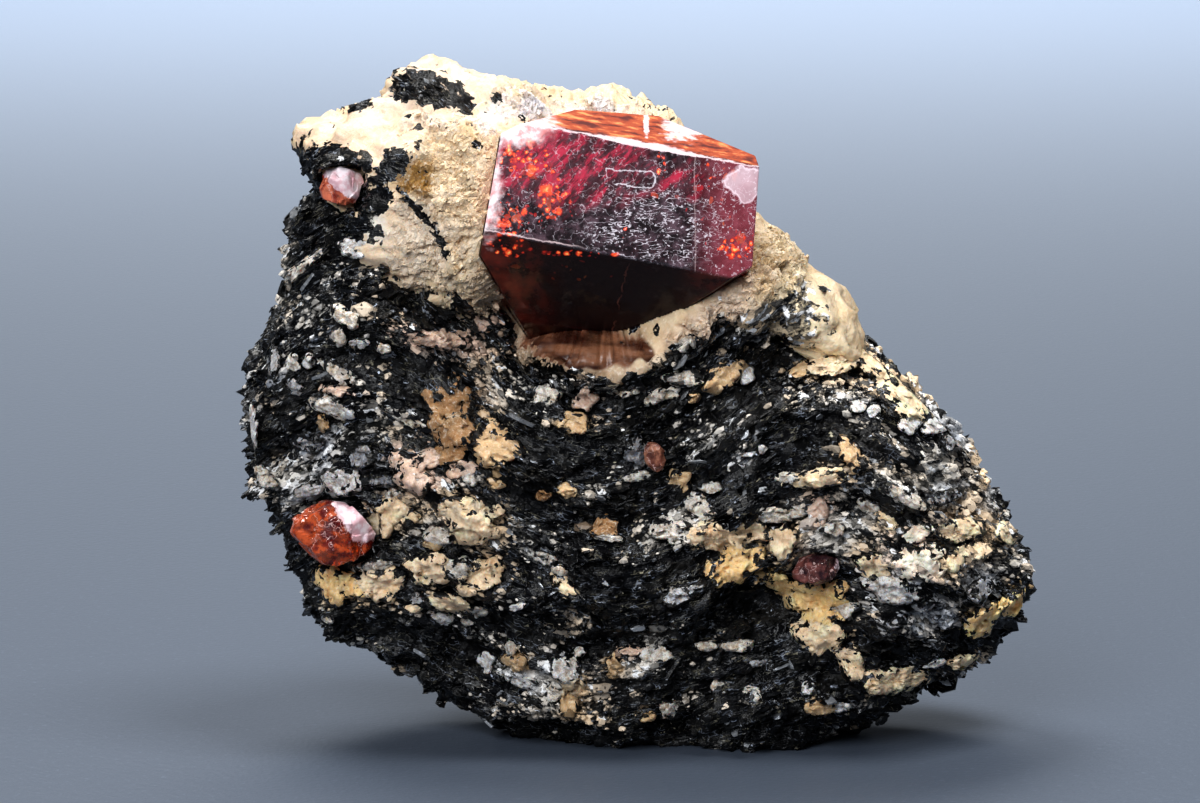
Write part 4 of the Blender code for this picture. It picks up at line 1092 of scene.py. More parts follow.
def face_marks(look):
    """The large crystal: dark in its lower face as painted shade, with painted reddish glints toward its
    ends, a pink haze over its front, crimson and fire at its left, the fire a painted glow, etched in fine
    dashes, orange streaks above the ridge, the brightest of them painted highlights, milky at its left end,
    with a painted glow there and at its upper left corner, a white line along the ridge as a painted
    highlight, pale lines painted as highlights along two other edges of its front, and a broken chip at its
    right end."""
    level = look.z + EDGE_FALL * look.x
    over_ridge = level - RIDGE_HEIGHT
    above = look.band(level - LOWER_EDGE, -0.15, 0.15)
    shown = look.band(look.y, -8.0, -9.5)
    front = shown * look.band(over_ridge, 0.1, -0.1)
    upper = front * above
    cloud, smoke = look.noise(1.6, 4, 28), look.noise(0.8, 5, 29, roughness=0.65)
    ends = look.band((look.x + 1.5).math("ABSOLUTE"), 3.5, 8.5)
    lower_shade_and_glints = look.mix(ends * look.band(cloud, 0.30, 0.75), (0.008, 0.002, 0.002), (0.15, 0.022, 0.012))
    haze = (look.band(smoke, 0.40, 0.70, 0.02, 0.16) + 0.08 * look.band(look.x, 3.5, 7.0)) * upper
    crimson = ellipse(look, -5.0, 44.2, 6.5, 3.2).math("MINIMUM", ellipse(look, 3.0, 43.2, 1.8, 1.7))
    crimson = look.band(crimson + cloud * 1.6, 2.1, 0.9) * upper
    drift = look.noise(1.0, 5, 41, look.slanted(0.3, 0.9), 0.68)
    wine = look.mix(look.band(drift, 0.42, 0.62), (0.05, 0.0, 0.008), (0.66, 0.015, 0.07))
    # The fire is a painted glow: emission in the veil that stands in for light the inner fractures reflect.
    painted_glow = 0
    for x, z, half_x, half_z in FIRE_SPOTS:
        painted_glow = look.band(ellipse(look, x, z, half_x, half_z), 2.8, 0.3).math("MAXIMUM", painted_glow)
    heat = look.blots(1.1, 30).math("MAXIMUM", look.blots(0.45, 33)) + 1.1 * painted_glow - 1.15
    heat = heat + (look.noise(0.35, 4, 47, roughness=0.7) - 0.5) * 1.1
    fire = look.band(heat, -0.12, 0.30) * shown
    ember = look.mix(look.band(heat, 0.05, 0.45), (0.34, 0.008, 0.010), (0.80, 0.085, 0.02))
    ember = look.mix(look.band(heat, 0.45, 0.85), ember, (1.0, 0.50, 0.16))
    dash = look.vector("MULTIPLY", look.place, (0.5, 1, 1.7))
    dashes = look.line(look.noise(0.62, 2, 31, dash) - 0.5, 0.022, 0.009)
    dashes = dashes * look.band(look.noise(1.2, 3, 36), 0.44, 0.52)
    dots = look.band(look.noise(0.24, 2, 37), 0.62, 0.67)
    etched = look.band(ellipse(look, 0.8, 39.8, 5.6, 3.2) + cloud, 1.7, 0.7)
    etched = dashes * etched + dots * (0.30 + 0.6 * etched + 0.4 * look.band(look.x, 3.0, 6.0))
    box = look.polygon(-0.8, 43.4, ((0, 1.8), (35, 1.6), (88, 0.55), (180, 1.7), (262, 0.55), (-40, 1.6)))
    box = look.line(box + (smoke - 0.5) * 0.9, 0.08, 0.02)
    etched = etched + box * look.band(cloud, 0.42, 0.50)
    hair = look.line(look.noise(1.5, 3, 44) - 0.5, 0.007, 0.002) * 0.5
    etched = (etched + hair).math("MINIMUM", 1) * upper
    streaks = look.noise(0.9, 5, 32, look.vector("MULTIPLY", look.place, (0.5, 0.8, 1.3)), 0.62)
    # The brightest orange streaks are painted highlights, where light from above comes in at the top face.
    orange = look.mix(look.band(streaks, 0.36, 0.50), (0.11, 0.012, 0.008), (0.42, 0.07, 0.02))
    orange = look.mix(look.band(streaks, 0.52, 0.66), orange, (0.92, 0.33, 0.12))
    frost = look.band(ellipse(look, 3.2, 46.4, 1.6, 0.7) + (smoke - 0.5) * 5, 1.4, 0.4)
    spike = look.band(ellipse(look, 0.4, 46.9, 0.22, 0.9) + (smoke - 0.5) * 4, 1.2, 0.4)
    frost = frost.math("MAXIMUM", spike)
    top = look.band(over_ridge, 0.0, 0.15)
    # The white line along the ridge is a painted highlight, where the edge would catch the light.
    width = look.band((look.x - 0.5).math("ABSOLUTE"), 5.0, 1.0, 0.0, 0.13)
    ridge = (over_ridge + (smoke - 0.5) * 0.4).math("ABSOLUTE") - width
    ridge = look.band(ridge, 0.08, 0.0) * shown
    broken = look.polygon(7.3, 43.0, ((186, 1.35), (128, 1.0), (75, 1.2), (238, 0.95), (292, 1.2)))
    broken = broken + (cloud - 0.5) * 1.6
    chip, rim = look.band(broken, 0.05, -0.03), look.line(broken, 0.16, 0.05)
    milk = look.band(ellipse(look, -11.3, 43.2, 1.5, 5.2) + look.noise(0.7, 4, 34) * 1.6, 1.75, 0.9)
    corner = look.band(ellipse(look, -9.0, 47.0, 3.4, 1.6) + look.noise(0.7, 4, 38) * 1.4, 1.75, 0.7)
    # A thin pale line is painted along the left part of the lower front edge: a painted highlight.
    lower_edge_highlight = look.line(level - LOWER_HIGHLIGHT_HEIGHT + (smoke - 0.5) * 0.5, 0.09, 0.02)
    lower_edge_highlight = lower_edge_highlight * look.band(look.x, -3.5, -6.0) * front
    crack = look.line(look.x + 1.6 + (cloud - 0.5) * 1.6 - (look.z - 34) * 0.2, 0.08, 0.0)
    # A faint pale line is painted down the edge between the two front faces: a painted highlight.
    split = look.line(look.x - 3.9 + (cloud - 0.5) * 0.5, 0.06, 0.02) * upper
    return [
        # The lower face is painted near black as shade, reddish toward its ends as painted glints.
        ((1 - above) * front * 0.88, lower_shade_and_glints, False),
        (haze, (0.66, 0.40, 0.50), False),
        (crimson * 0.66, wine, False),
        (look.band(look.x, 3.0, 6.5) * (0.20 + 0.4 * smoke) * upper, (0.36, 0.018, 0.035), False),
        (top * 0.85, orange, False),
        (top * frost * 0.7, (0.86, 0.70, 0.72), False),
        (crack * (1 - above) * front * 0.35 * look.band(cloud, 0.40, 0.60), (0.28, 0.09, 0.06), False),
        (fire * 0.9, ember, True),
        (etched * 0.68, (0.80, 0.74, 0.80), False),
        ((split * 0.4 + lower_edge_highlight).math("MINIMUM", 1) * 0.6, (0.80, 0.62, 0.62), False),
        ((chip * (0.2 + 0.6 * cloud) + rim * 0.3).math("MINIMUM", 1) * front, (0.88, 0.70, 0.76), False),
        (ridge * 0.62, (0.90, 0.74, 0.78), False),
        # The milky left end is the crystal's own frost; its glow, and the glowing upper left corner, are
        # painted light.
        ((0.8 * milk + corner).math("MINIMUM", 1) * 0.85, look.mix(
            look.band(smoke, 0.35, 0.60), (0.84, 0.32, 0.32), (0.97, 0.86, 0.88)), True),
    ]


def small_marks(middle, dark, bright, cover, crust_way, crust_start, crust_low):
    """A small crystal: full of fractures that scatter the light, with white veins, and a pale crust
    on the side that crust_way points to, above crust_low."""
    def marks(look):
        cloud = look.noise(0.9, 4, 26)
        along = (look.x - middle[0]) * crust_way[0] + (look.z - middle[2]) * crust_way[1]
        crust = look.band(along + look.noise(0.8, 3, 39) * 1.2, crust_start + 0.55, crust_start + 0.70)
        crust = crust * look.band(look.z - middle[2] + cloud, crust_low + 0.35, crust_low + 0.65)
        vein = look.line(look.noise(2.2, 4, 40) - 0.5, 0.008, 0.002)
        fire = look.mix(look.band(cloud - along * 0.05, 0.40, 0.60), dark, bright)
        pearl = look.mix(look.band(cloud, 0.40, 0.65), (0.74, 0.46, 0.50), (0.97, 0.88, 0.92))
        return [
            (look.band(look.noise(0.7, 3, 34), 0.3, 0.6) * 0.35 + cover, fire, False),
            (vein * 0.5, (0.85, 0.62, 0.58), False),
            (crust * 0.9, pearl, False),
        ]
    return marks


def fleck_look(zircon):
    """Fire in the crystal: small fractures painted to glow in orange and red, an emission that stands in
    for the light they catch.
    """
    look = Look("fire_flecks", (0.9, 0.2, 0.03))
    colour = look.field("tint", "Color")
    return look.finish(look.shader(
        Base_Color=colour, Roughness=0.3, Emission_Color=colour, Emission_Strength=zircon.fire))


# ---------------------------------------------------------------- settings


def colour_setting(name, description, default):
    return FloatVectorProperty(
        name=name, description=description, default=default, subtype="COLOR", size=3, min=0, max=1)


def length_setting(name, description, millimetres):
    return FloatProperty(
        name=name, description=description, default=millimetres * MM,
        unit="LENGTH", subtype="DISTANCE", min=0)


def power_setting(name, description, watts):
    return FloatProperty(name=name, description=description, default=watts, unit="POWER", min=0)


class RockSettings(bpy.types.PropertyGroup):
    """The mica rock."""
    plates: IntProperty(name="Mica plates", description="Plates on the rock", default=15000, min=100)
    grains: IntProperty(name="Pale grains", description="Grains on the rock", default=7000, min=100)
    plate_size: length_setting("Plate size", "Usual half width of a mica plate", 0.45)
    grain_size: length_setting("Grain size", "Usual half width of a pale grain", 0.20)
    mica_colour: colour_setting("Mica", "Colour of the mica", (0.006, 0.006, 0.007))
    grain_colour: colour_setting("Grains", "Colour of the pale grains", (0.62, 0.59, 0.54))


class FeldsparSettings(bpy.types.PropertyGroup):
    """The feldspar cap and lenses."""
    cream: colour_setting("Cream", "Main colour of the feldspar cap", (0.80, 0.63, 0.43))
    crumbs: IntProperty(name="Crumbs", description="Loose grains on the cap", default=9000, min=0)


class ZirconSettings(bpy.types.PropertyGroup):
    """The zircon crystals."""
    colour: colour_setting("Colour", "Colour that light takes in the crystal", (0.935, 0.55, 0.08))
    density: FloatProperty(
        name="Density", description="How fast light is absorbed, per metre", default=850, min=0)
    refraction: FloatProperty(name="Refraction", description="Index of refraction", default=1.93, min=1)
    bevel: length_setting("Edge wear", "Width of the worn edges", 0.10)
    # Fire is the strength of a painted glow: the emission of the fractures and glowing marks, standing in
    # for light they reflect.
    fire: FloatProperty(name="Fire", description="Glow of the fractures", default=0.35, min=0)


class StageSettings(bpy.types.PropertyGroup):
    """The floor and lights."""
    floor_colour: colour_setting("Floor", "Colour of the floor", (0.078, 0.096, 0.128))
    sky_colour: colour_setting("Sky", "Colour of the light from all round", (0.80, 0.88, 1.0))
    sky_strength: FloatProperty(
        name="Sky strength", description="Strength of the light from all round", default=0.10, min=0)
    key_power: power_setting("Key light", "Power of the main light", 1.3)
    top_power: power_setting("Top light", "Power of the light overhead", 1.4)
    fill_power: power_setting("Fill light", "Power of the front light", 2.4)
    far_power: power_setting("Far light", "Power of the light on the floor behind", 24.0)


class Specimen(bpy.types.PropertyGroup):
    """Everything that a maker would change."""
    rock: PointerProperty(type=RockSettings)
    feldspar: PointerProperty(type=FeldsparSettings)
    zircon: PointerProperty(type=ZirconSettings)
    stage: PointerProperty(type=StageSettings)


# ---------------------------------------------------------------- operators


def settled(piece, slot, *nodes):
    """Hangs a finished piece on the root body and hides the solids that it takes the place of. Its slot is
    not used.
    """
    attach(piece, ROOT)
    if nodes:
        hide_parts(*nodes)


def clear_of_crystals(points, gap):
    """True where a point is at least gap outside every crystal and not in front of the large one."""
    clear = zircon_depth(points) > gap
    clear &= zircon_depth(points * (1, 0, 1) + (0, ZIRCON_CENTRE[1] - 3, 0)) > gap - 0.1
    for middle, half in SMALL_ZIRCONS.values():
        clear &= (((points - middle) / (np.array(half) + gap)) ** 2).sum(1) > 1
    return clear


def both_sides():
    """The lenses, with -1 before those of the front and 1 before those of the back, which are some
    of the lower ones again, larger and turned the other way."""
    lower = [row for row in LENSES[1::3] if row[1] < 29 and row[6] != SILVER]
    back = [
        (1, x, z, 1.5 * long, 1.4 * high, -turn, out, colour)
        for x, z, long, high, turn, out, colour in lower]
    return [(-1, *row) for row in LENSES] + back


def lens_share(points, side, spot, reach, fade):
    """1 on a lens of this side of the rock, falling to 0 just outside it."""
    far = spot_distance(points[:, 0], points[:, 2], *spot)
    return np.clip(reach - fade * far, 0, 1) * (points[:, 1] * side > (1 if side > 0 else 0))


def on_lens(points):
    """1 on any of the lenses, falling to 0 just outside it."""
    share = np.zeros(len(points))
    for side, *spot in both_sides():
        share = np.maximum(share, lens_share(points, side, spot[:5], 3.2, 3))
    return share


def rock_tint(points):
    """Mean colour of the rock's pale parts, warmer here and there and round the lenses."""
    warm = np.clip(waves(points, 8.0, 51) * 0.4 + 0.3, 0, 1)[:, None]
    tint = np.array(PALE) * (1 - warm) + np.array(CREAM) * warm
    for side, *spot in both_sides():
        tint += (np.array(spot[6]) - tint) * lens_share(points, side, spot[:5], 2.2, 1)[:, None]
    return tint


def plates_on(points, cells, count, size, rng, weight, poor=0.32):
    """Mica plates lying with the layers, tipped toward the surface, as (points, cells, tint,
    fields)."""
    place, out = scatter(points, cells, int(count * 1.15), rng, weight)
    keep = clear_of_crystals(place, 0.35) & (rng.random(len(place)) > 0.93 * on_lens(place))
    place, out = place[keep][:count], out[keep][:count]
    count = len(place)
    across = layer_normal(place[:, 0], place[:, 2])
    across *= np.sign((across * out).sum(1, keepdims=True) + 1e-9)
    lean = np.radians(rng.normal(38, 24, count))[:, None]
    normal = unit(across * np.cos(lean) + out * np.sin(lean) + rng.normal(0, 0.22, (count, 3)))
    along = unit(np.cross(across, out) + rng.normal(0, 0.5, (count, 3)))
    radius = size * np.clip(rng.lognormal(-0.1, 0.38, count), 0.35, 2.2)
    thick = np.clip(radius * rng.uniform(0.06, 0.30, count), 0.04, 0.25)
    tilt = np.sqrt(np.clip(1 - (normal * out).sum(1) ** 2, 0, 1))
    middle = place + out * np.minimum(0.06, rng.uniform(-0.10, 0.34, count) - radius * tilt)[:, None]
    mesh, loops = plate_mesh(middle, normal, along, radius, thick, rng)
    mesh[:, 2] = np.maximum(mesh[:, 2], 0)
    fields = {
        "pale": pale_share(place) - poor + rng.normal(0, 0.12, count),
        # A few plates are picked to be painted silvery, as glints.
        "silver": (rng.random(count) < 0.05) * rng.uniform(0.2, 0.9, count),
    }
    fields = {key: np.repeat(values, PLATE_CORNERS) for key, values in fields.items()}
    return mesh, loops, np.repeat(rock_tint(place), PLATE_CORNERS, axis=0), fields


def grains_on(points, cells, count, size, rng, weight):
    """Angular pale grains, drawn out along the layers, as (points, cells, tint)."""
    place, out = scatter(points, cells, int(count * 1.15), rng, weight)
    keep = clear_of_crystals(place, 0.3)
    place, out = place[keep][:count], out[keep][:count]
    count = len(place)
    across = layer_normal(place[:, 0], place[:, 2])
    along, third = frames_about(across, unit(np.cross(across, out) + rng.normal(0, 0.4, (count, 3))))
    radius = size * np.clip(rng.lognormal(-0.05, 0.42, count), 0.35, 2.6)[:, None]
    middle = place - out * radius * rng.uniform(0.2, 0.7, (count, 1))
    mesh, loops = grain_mesh(middle, along * radius * 1.5, third * radius, across * radius * 0.8, rng)
    mesh[:, 2] = np.maximum(mesh[:, 2], 0)
    tint = rock_tint(place) * rng.uniform(0.3, 1.15, (count, 1))
    return mesh, loops, np.repeat(tint, GRAIN_CORNERS, axis=0)


class SPECIMEN_OT_rock(bpy.types.Operator):
    """Build the skin of the mica rock"""
    bl_idname = "specimen.rock"
    bl_label = "Rock skin"

    def execute(self, context):
        rock = context.scene.specimen.rock
        points, cells = rock_skin()
        piece = new_piece(
            "biotite_skin", points, cells, rock_look(rock), rock_tint(points), smooth=True,
            pale=pale_share(points))
        settled(piece, "biotite", "biotite_matrix")
        return {"FINISHED"}


def cap_tint(points, feldspar):
    """The cap's colours: cream, and its named stains and bands."""
    tint = np.tile(np.array(feldspar.cream), (len(points), 1))
    for spot in CAP_TINTS:
        tint += (np.array(spot[5]) - tint) * cap_share(points, [spot])[:, None]
    return tint


def cap_film(points):
    """How far mica has grown over the cap, from 0 to 1: its patches, and specks at random."""
    film = 0.20 + 0.10 * waves(points, 3.0, 62)
    return np.clip(film + 0.75 * cap_share(points, CAP_MICA), 0, 1)


def crumbly(place, normal):
    """How likely a crumb is on the cap: where it is gritty, and clear of its toe and its mica."""
    grit = cap_share(place, CAP_GRIT) * (1 - cap_share(place, [TOE]))
    return (normal[:, 1] < 0.5) * grit * (cap_film(place) < 0.6) + 1e-9


def crumbs_on(points, cells, feldspar, rng):
    """Crumbs of the cap: blocks drawn out along its skin, as (points, cells, tint)."""
    place, out = scatter(points, cells, feldspar.crumbs, rng, crumbly)
    keep = clear_of_crystals(place, 0.2)
    place, out = place[keep], out[keep]
    first, second = frames_about(out, unit(rng.normal((0.5, 0, 0.9), 0.5, (len(place), 3))))
    size = CRUMB_SIZE * np.clip(rng.lognormal(0, 0.45, len(place)), 0.4, 2.0)[:, None]
    middle = place - out * size * 0.4
    mesh, loops = block_mesh(middle, first * size * 2.4, second * size, out * size * 0.9, rng)
    shade = cap_tint(place, feldspar) * rng.uniform(0.72, 1.12, (len(place), 1))
    return mesh, loops, np.repeat(shade, BLOCK_CORNERS, axis=0)


class SPECIMEN_OT_cap(bpy.types.Operator):
    """Build the feldspar cap, the seat of the large crystal in it, and its crumbs"""
    bl_idname = "specimen.cap"
    bl_label = "Feldspar cap"

    def execute(self, context):
        feldspar, rock = context.scene.specimen.feldspar, context.scene.specimen.rock
        points, cells, outside = cap_skin()
        # The cap is painted darker on faces that look up: a painted shade that keeps the light from above
        # from washing out their cream.
        upward = np.clip(corner_normals(points, cells)[:, 2:], 0, 1)
        tint = cap_tint(points, feldspar) * (1 - 0.22 * upward)
        x, y, z = points.T
        # The wall of the seat is dark low down and far in, where the crystal keeps the light out.
        deep = np.clip((45.0 + 0.2 * (x + 2) - z) / 3.0, 0, 1) * np.clip((y + 9.5) / 2, 0, 1) * ~outside
        tint += (np.array(SEAT_SHADE) - tint) * deep[:, None]
        look = feldspar_look("feldspar_cap", feldspar, rock)
        piece = new_piece(
            "feldspar_skin", points, cells, look, tint, smooth=True, grit=cap_share(points, CAP_GRIT),
            toe=0.9 * cap_share(points, [TOE]), film=cap_film(points),
            pale=0.45 + 0.5 * np.clip((x - 1) / 3, 0, 1))
        settled(piece, "feldspar", "feldspar_cap")
        outer = cells[outside[cells].all(1)]
        mesh, loops, shade = crumbs_on(points, outer, feldspar, np.random.default_rng(65))
        settled(new_piece("feldspar_crumbs", mesh, loops, look, shade), "feldspar")
        return {"FINISHED"}


def rock_depth(x, z, side):
    """How far the rock's front or back stands out at places on it, worked out as rock_form does."""
    offset_x, offset_z = x - ROCK_CENTRE[0], z - ROCK_CENTRE[1]
    angle = np.arctan2(offset_z, offset_x)
    across = np.hypot(offset_x, offset_z) / np.interp(angle, *outline_polar())
    return side * rock_form(angle, np.clip(across, 0, 1), np.full(len(x), side < 0))[:, 1]


def lens_shell(side, x, z, long, high, turn, out, number):
    """A lens of feldspar: a disc pressed onto a wavy ellipse; its face stands out of the rock by
    out times 1 - radius^6, in facets, and a fan from its rim to a point sunk in the rock closes it.
    Gives its points, its faces and each point's share of the radius."""
    count = 2 * int(np.clip(long / LENS_CELL, 7, 20))
    a, b, cells = grid_square(count)
    angle, radius = square_to_disc(a, b)
    round_it = np.stack([np.cos(angle) * long, np.sin(angle) * high, 0 * angle + 7.7 * number], 1)
    ragged = 1.2 + 0.17 * waves(round_it * (1.8 / long), 2.3, 71) + 0.10 * waves(round_it, 1.3, 72)
    ragged = radius * (ragged + 0.08 * waves(round_it, 0.6, 77))
    u, v = ragged * np.cos(angle) * long, ragged * np.sin(angle) * high
    c, s = math.cos(math.radians(turn)), math.sin(math.radians(turn))
    px, pz = x + u * c - v * s, z + u * s + v * c
    over_x, over_z = px - ROCK_CENTRE[0], pz - ROCK_CENTRE[1]
    reach = 0.96 * np.interp(np.arctan2(over_z, over_x), *outline_polar())
    inside = np.minimum(1, reach / np.maximum(np.hypot(over_x, over_z), 1e-6))
    px, pz = ROCK_CENTRE[0] + over_x * inside, ROCK_CENTRE[1] + over_z * inside
    level = rock_depth(px, pz, side) - 0.75
    points = np.stack([px, side * level, pz], 1)
    sunk = points[len(points) // 2] - (0, 0.7 * side, 0)
    facets, _, _ = cleavage(points, 1.1, 0.48, 0.30, 73)
    small, _, _ = cleavage(points, 0.40, 0.45, 0.10, 74)
    stand = 0.35 + 0.75 * out + facets + small + 0.05 * waves(points, 0.9, 75)
    points[:, 1] += side * stand * (1 - radius**6)
    rim = grid_border(count)
    fan = np.stack([np.roll(rim, -1), rim, np.full(len(rim), len(points))], 1)
    loops = np.concatenate([cells[:, ::-side].ravel(), fan[:, ::-side].ravel()])
    totals = np.repeat([4, 3], [len(cells), len(fan)])
    return np.append(points, [sunk], 0), (loops, totals), np.append(radius, 0)


def lens_film(share, long, colour):
    """How far mica has grown over a lens: more at its rim, and on a large or a silvery one."""
    return (0.17 if long > 1.1 else 0.10) + 0.54 * share**2 + (0.18 if colour == SILVER else 0)


class SPECIMEN_OT_lenses(bpy.types.Operator):
    """Build the feldspar lenses and large grains that stand out of the rock, front and back"""
    bl_idname = "specimen.lenses"
    bl_label = "Feldspar lenses"

    def execute(self, context):
        feldspar, rock = context.scene.specimen.feldspar, context.scene.specimen.rock
        look = feldspar_look("feldspar_lenses", feldspar, rock, 0.6, 0.7)
        for wanted, name in ((-1, "feldspar_lenses"), (1, "feldspar_lenses_back")):
            parts, film, grit = [], [], []
            for number, (side, *form, colour) in enumerate(both_sides()):
                if side != wanted:
                    continue
                mesh, faces, share = lens_shell(side, *form, number)
                x, long = form[0], form[2]
                # Each lens is painted a little brighter toward the right of the rock: painted light where
                # the lamps leave that side dimmer. The waves are its own tone.
                shade = 1.12 + 0.12 * waves(mesh, 1.6, 76) + 0.12 * np.clip(x / 20, 0, 1)
                parts.append((mesh, faces, np.array(colour) * shade[:, None]))
                film.append(lens_film(share, long, colour))
                grit.append(np.full(len(mesh), 0.8 if colour in (WHITE, PALE, SILVER) else 0.25))
            points, cells, tint = join_arrays(parts)
            piece = new_piece(
                name, push_behind_crystals(points, 0.0), cells, look, tint, smooth=True,
                film=np.concatenate(film), grit=np.concatenate(grit), pale=np.full(len(points), 0.40))
            settled(piece, "feldspar")
        return {"FINISHED"}


def on_side(side, likely):
    """How likely places on the rock are, by likely(place), on its front or back above its foot."""
    def weight(place, _):
        front = place[:, 1] < 1
        return likely(place) * (front if side < 0 else ~front) * (place[:, 2] > 0.4)
    return weight


def patch_weight(spot):
    """How likely a plate is at places on the cap: a ragged patch round this spot of its front."""
    def weight(place, normal):
        far = spot_distance(place[:, 0], place[:, 2], *spot) + 0.25 * waves(place, 1.5, 81)
        return np.clip(1.2 - far, 0, 1) * (normal[:, 1] < 0.2) * (place[:, 1] < 2) + 1e-12
    return weight


class SPECIMEN_OT_mica(bpy.types.Operator):
    """Cover the rock and parts of the cap with mica plates"""
    bl_idname = "specimen.mica"
    bl_label = "Mica plates"

    def execute(self, context):
        rock = context.scene.specimen.rock
        rng = np.random.default_rng(80)
        points, cells = rock_skin()
        look = mica_look(rock)
        on_front = on_side(-1, lambda place: 0.25 + 0.75 * (1 - pale_share(place)))
        on_back = on_side(1, lambda _: 1.0)
        size = rock.plate_size / MM
        half = rock.plates // 2
        for name, weight, count, scale in (
            ("front_coarse", on_front, rock.plates // 6, 1.5), ("front", on_front, half, 0.85),
            ("front_fine", on_front, half, 0.5), ("back", on_back, half, 1.0),
        ):
            mesh, loops, tint, fields = plates_on(points, cells, count, size * scale, rng, weight)
            settled(new_piece("mica_" + name, mesh, loops, look, tint, **fields), "biotite")
        cap, cap_cells, _ = cap_skin()
        parts = []
        for *spot, count in CAP_MICA:
            poor = 0.35 if spot[0] > 2 else 0.5
            parts.append(plates_on(cap, cap_cells, count, CAP_PLATE_SIZE, rng, patch_weight(spot), poor))
        fields = {key: np.concatenate([part[3][key] for part in parts]) for key in parts[0][3]}
        mesh, loops, tint = join_arrays([part[:3] for part in parts])
        settled(new_piece("mica_on_cap", mesh, loops, look, tint, **fields), "biotite")
        return {"FINISHED"}


class SPECIMEN_OT_grains(bpy.types.Operator):
    """Scatter pale grains over the rock"""
    bl_idname = "specimen.grains"
    bl_label = "Pale grains"

    def execute(self, context):
        rock = context.scene.specimen.rock
        rng = np.random.default_rng(90)
        points, cells = rock_skin()
        look = grain_look(rock)
        on_front, on_back = (on_side(side, lambda place: pale_share(place) ** 3) for side in (-1, 1))
        for name, weight, count, scale in (
            ("front", on_front, rock.grains, 1.0), ("front_coarse", on_front, rock.grains // 20, 1.9),
            ("back", on_back, rock.grains // 2, 1.3),
        ):
            size = scale * rock.grain_size / MM
            mesh, loops, tint = grains_on(points, cells, count, size, rng, weight)
            settled(new_piece("grains_" + name, mesh, loops, look, tint), "feldspar")
        return {"FINISHED"}


def merged_copy(node, name):
    """A copy of a solid with its loose triangles merged and its flat faces made whole."""
    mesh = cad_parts[node].data.copy()
    mesh.name = name
    bm = bmesh.new()
    bm.from_mesh(mesh)
    bmesh.ops.remove_doubles(bm, verts=bm.verts, dist=2e-6)
    bmesh.ops.dissolve_limit(bm, angle_limit=math.radians(1), verts=bm.verts, edges=bm.edges)
    bm.to_mesh(mesh)
    bm.free()
    mesh.materials.clear()
    piece = bpy.data.objects.new(name, mesh)
    bpy.context.scene.collection.objects.link(piece)
    return piece


def fire_flecks(rng):
    """Fractures in the large crystal: flat grains strewn about the middle of each cluster, larger and
    warmer near it, as (points, cells, tint); the tint is also the colour of their painted glow."""
    heat, places = [], []
    for x, y, z, spread, count in FIRE_CLUSTERS:
        offset = rng.normal(size=(count, 3)) * (spread, 0.5, spread * 0.8)
        places.append(np.array([x, y, z]) + offset)
        heat.append(np.exp(-(offset**2).sum(1) / spread**2))
    place, heat = np.concatenate(places), np.concatenate(heat)
    keep = zircon_depth(place) < -0.45
    place, heat = place[keep], heat[keep][:, None]
    count = len(place)
    turned = unit(rng.normal(size=(count, 3)))
    first, second = frames_about(turned, unit(rng.normal(size=(count, 3))))
    size = np.clip(rng.lognormal(-1.9, 0.45, count), 0.08, 0.4)[:, None] * (0.6 + 0.9 * heat)
    mesh, loops = grain_mesh(place, first * size * 1.5, second * size, turned * size * 0.5, rng)
    warm = np.clip(heat * 1.3 - 0.15 + rng.normal(0, 0.15, (count, 1)), 0, 1)
    tint = np.array([0.70, 0.02, 0.015]) * (1 - warm) + np.array([1.0, 0.36, 0.04]) * warm
    return mesh, loops, np.repeat(tint, GRAIN_CORNERS, axis=0)


class SPECIMEN_OT_zircon(bpy.types.Operator):
    """Build the large zircon and the fractures in it, which glow as painted light"""
    bl_idname = "specimen.zircon"
    bl_label = "Large zircon"

    def execute(self, context):
        zircon = context.scene.specimen.zircon
        piece = merged_copy("zircon_main", "zircon_main_crystal")
        piece.data.materials.append(zircon_look("zircon_faces", zircon, face_marks))
        worn = piece.modifiers.new("Worn edges", "BEVEL")
        worn.width, worn.segments = zircon.bevel, 2
        worn.limit_method, worn.angle_limit = "ANGLE", math.radians(4)
        settled(piece, "zircon", "zircon_main")
        mesh, loops, tint = fire_flecks(np.random.default_rng(100))
        settled(new_piece("zircon_fire", mesh, loops, fleck_look(zircon), tint), "zircon")
        return {"FINISHED"}


# The small crystals' looks: dark and bright colour, least cover, way to the crust, its start and foot.
SMALL_LOOKS = {
    "zircon_lower_left": ((0.16, 0.010, 0.008), (0.72, 0.13, 0.035), 0.30, (0.85, 0.50), 1.15, -0.6),
    "zircon_upper_left": ((0.40, 0.05, 0.03), (0.90, 0.26, 0.14), 0.45, (0.60, 0.80), -0.25, -9),
    "zircon_centre": ((0.14, 0.045, 0.03), (0.42, 0.19, 0.12), 0.60, (0.50, 0.50), 1.2, -9),
    "zircon_right": ((0.035, 0.012, 0.016), (0.20, 0.07, 0.06), 0.60, (1.0, 0.0), 1.5, -9),
}


def solid_planes(node):
    """Outward normals, distances and middle of a convex solid's flat faces, from its triangles."""
    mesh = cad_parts[node].data
    corners = np.zeros(len(mesh.vertices) * 3)
    mesh.vertices.foreach_get("co", corners)
    normals = np.zeros(len(mesh.polygons) * 3)
    mesh.polygons.foreach_get("normal", normals)
    first = np.array([face.vertices[0] for face in mesh.polygons])
    corners, normals = corners.reshape(-1, 3) / MM, unit(normals.reshape(-1, 3))
    middle = (corners.min(0) + corners.max(0)) / 2
    return normals, ((corners[first] - middle) * normals).sum(1), middle


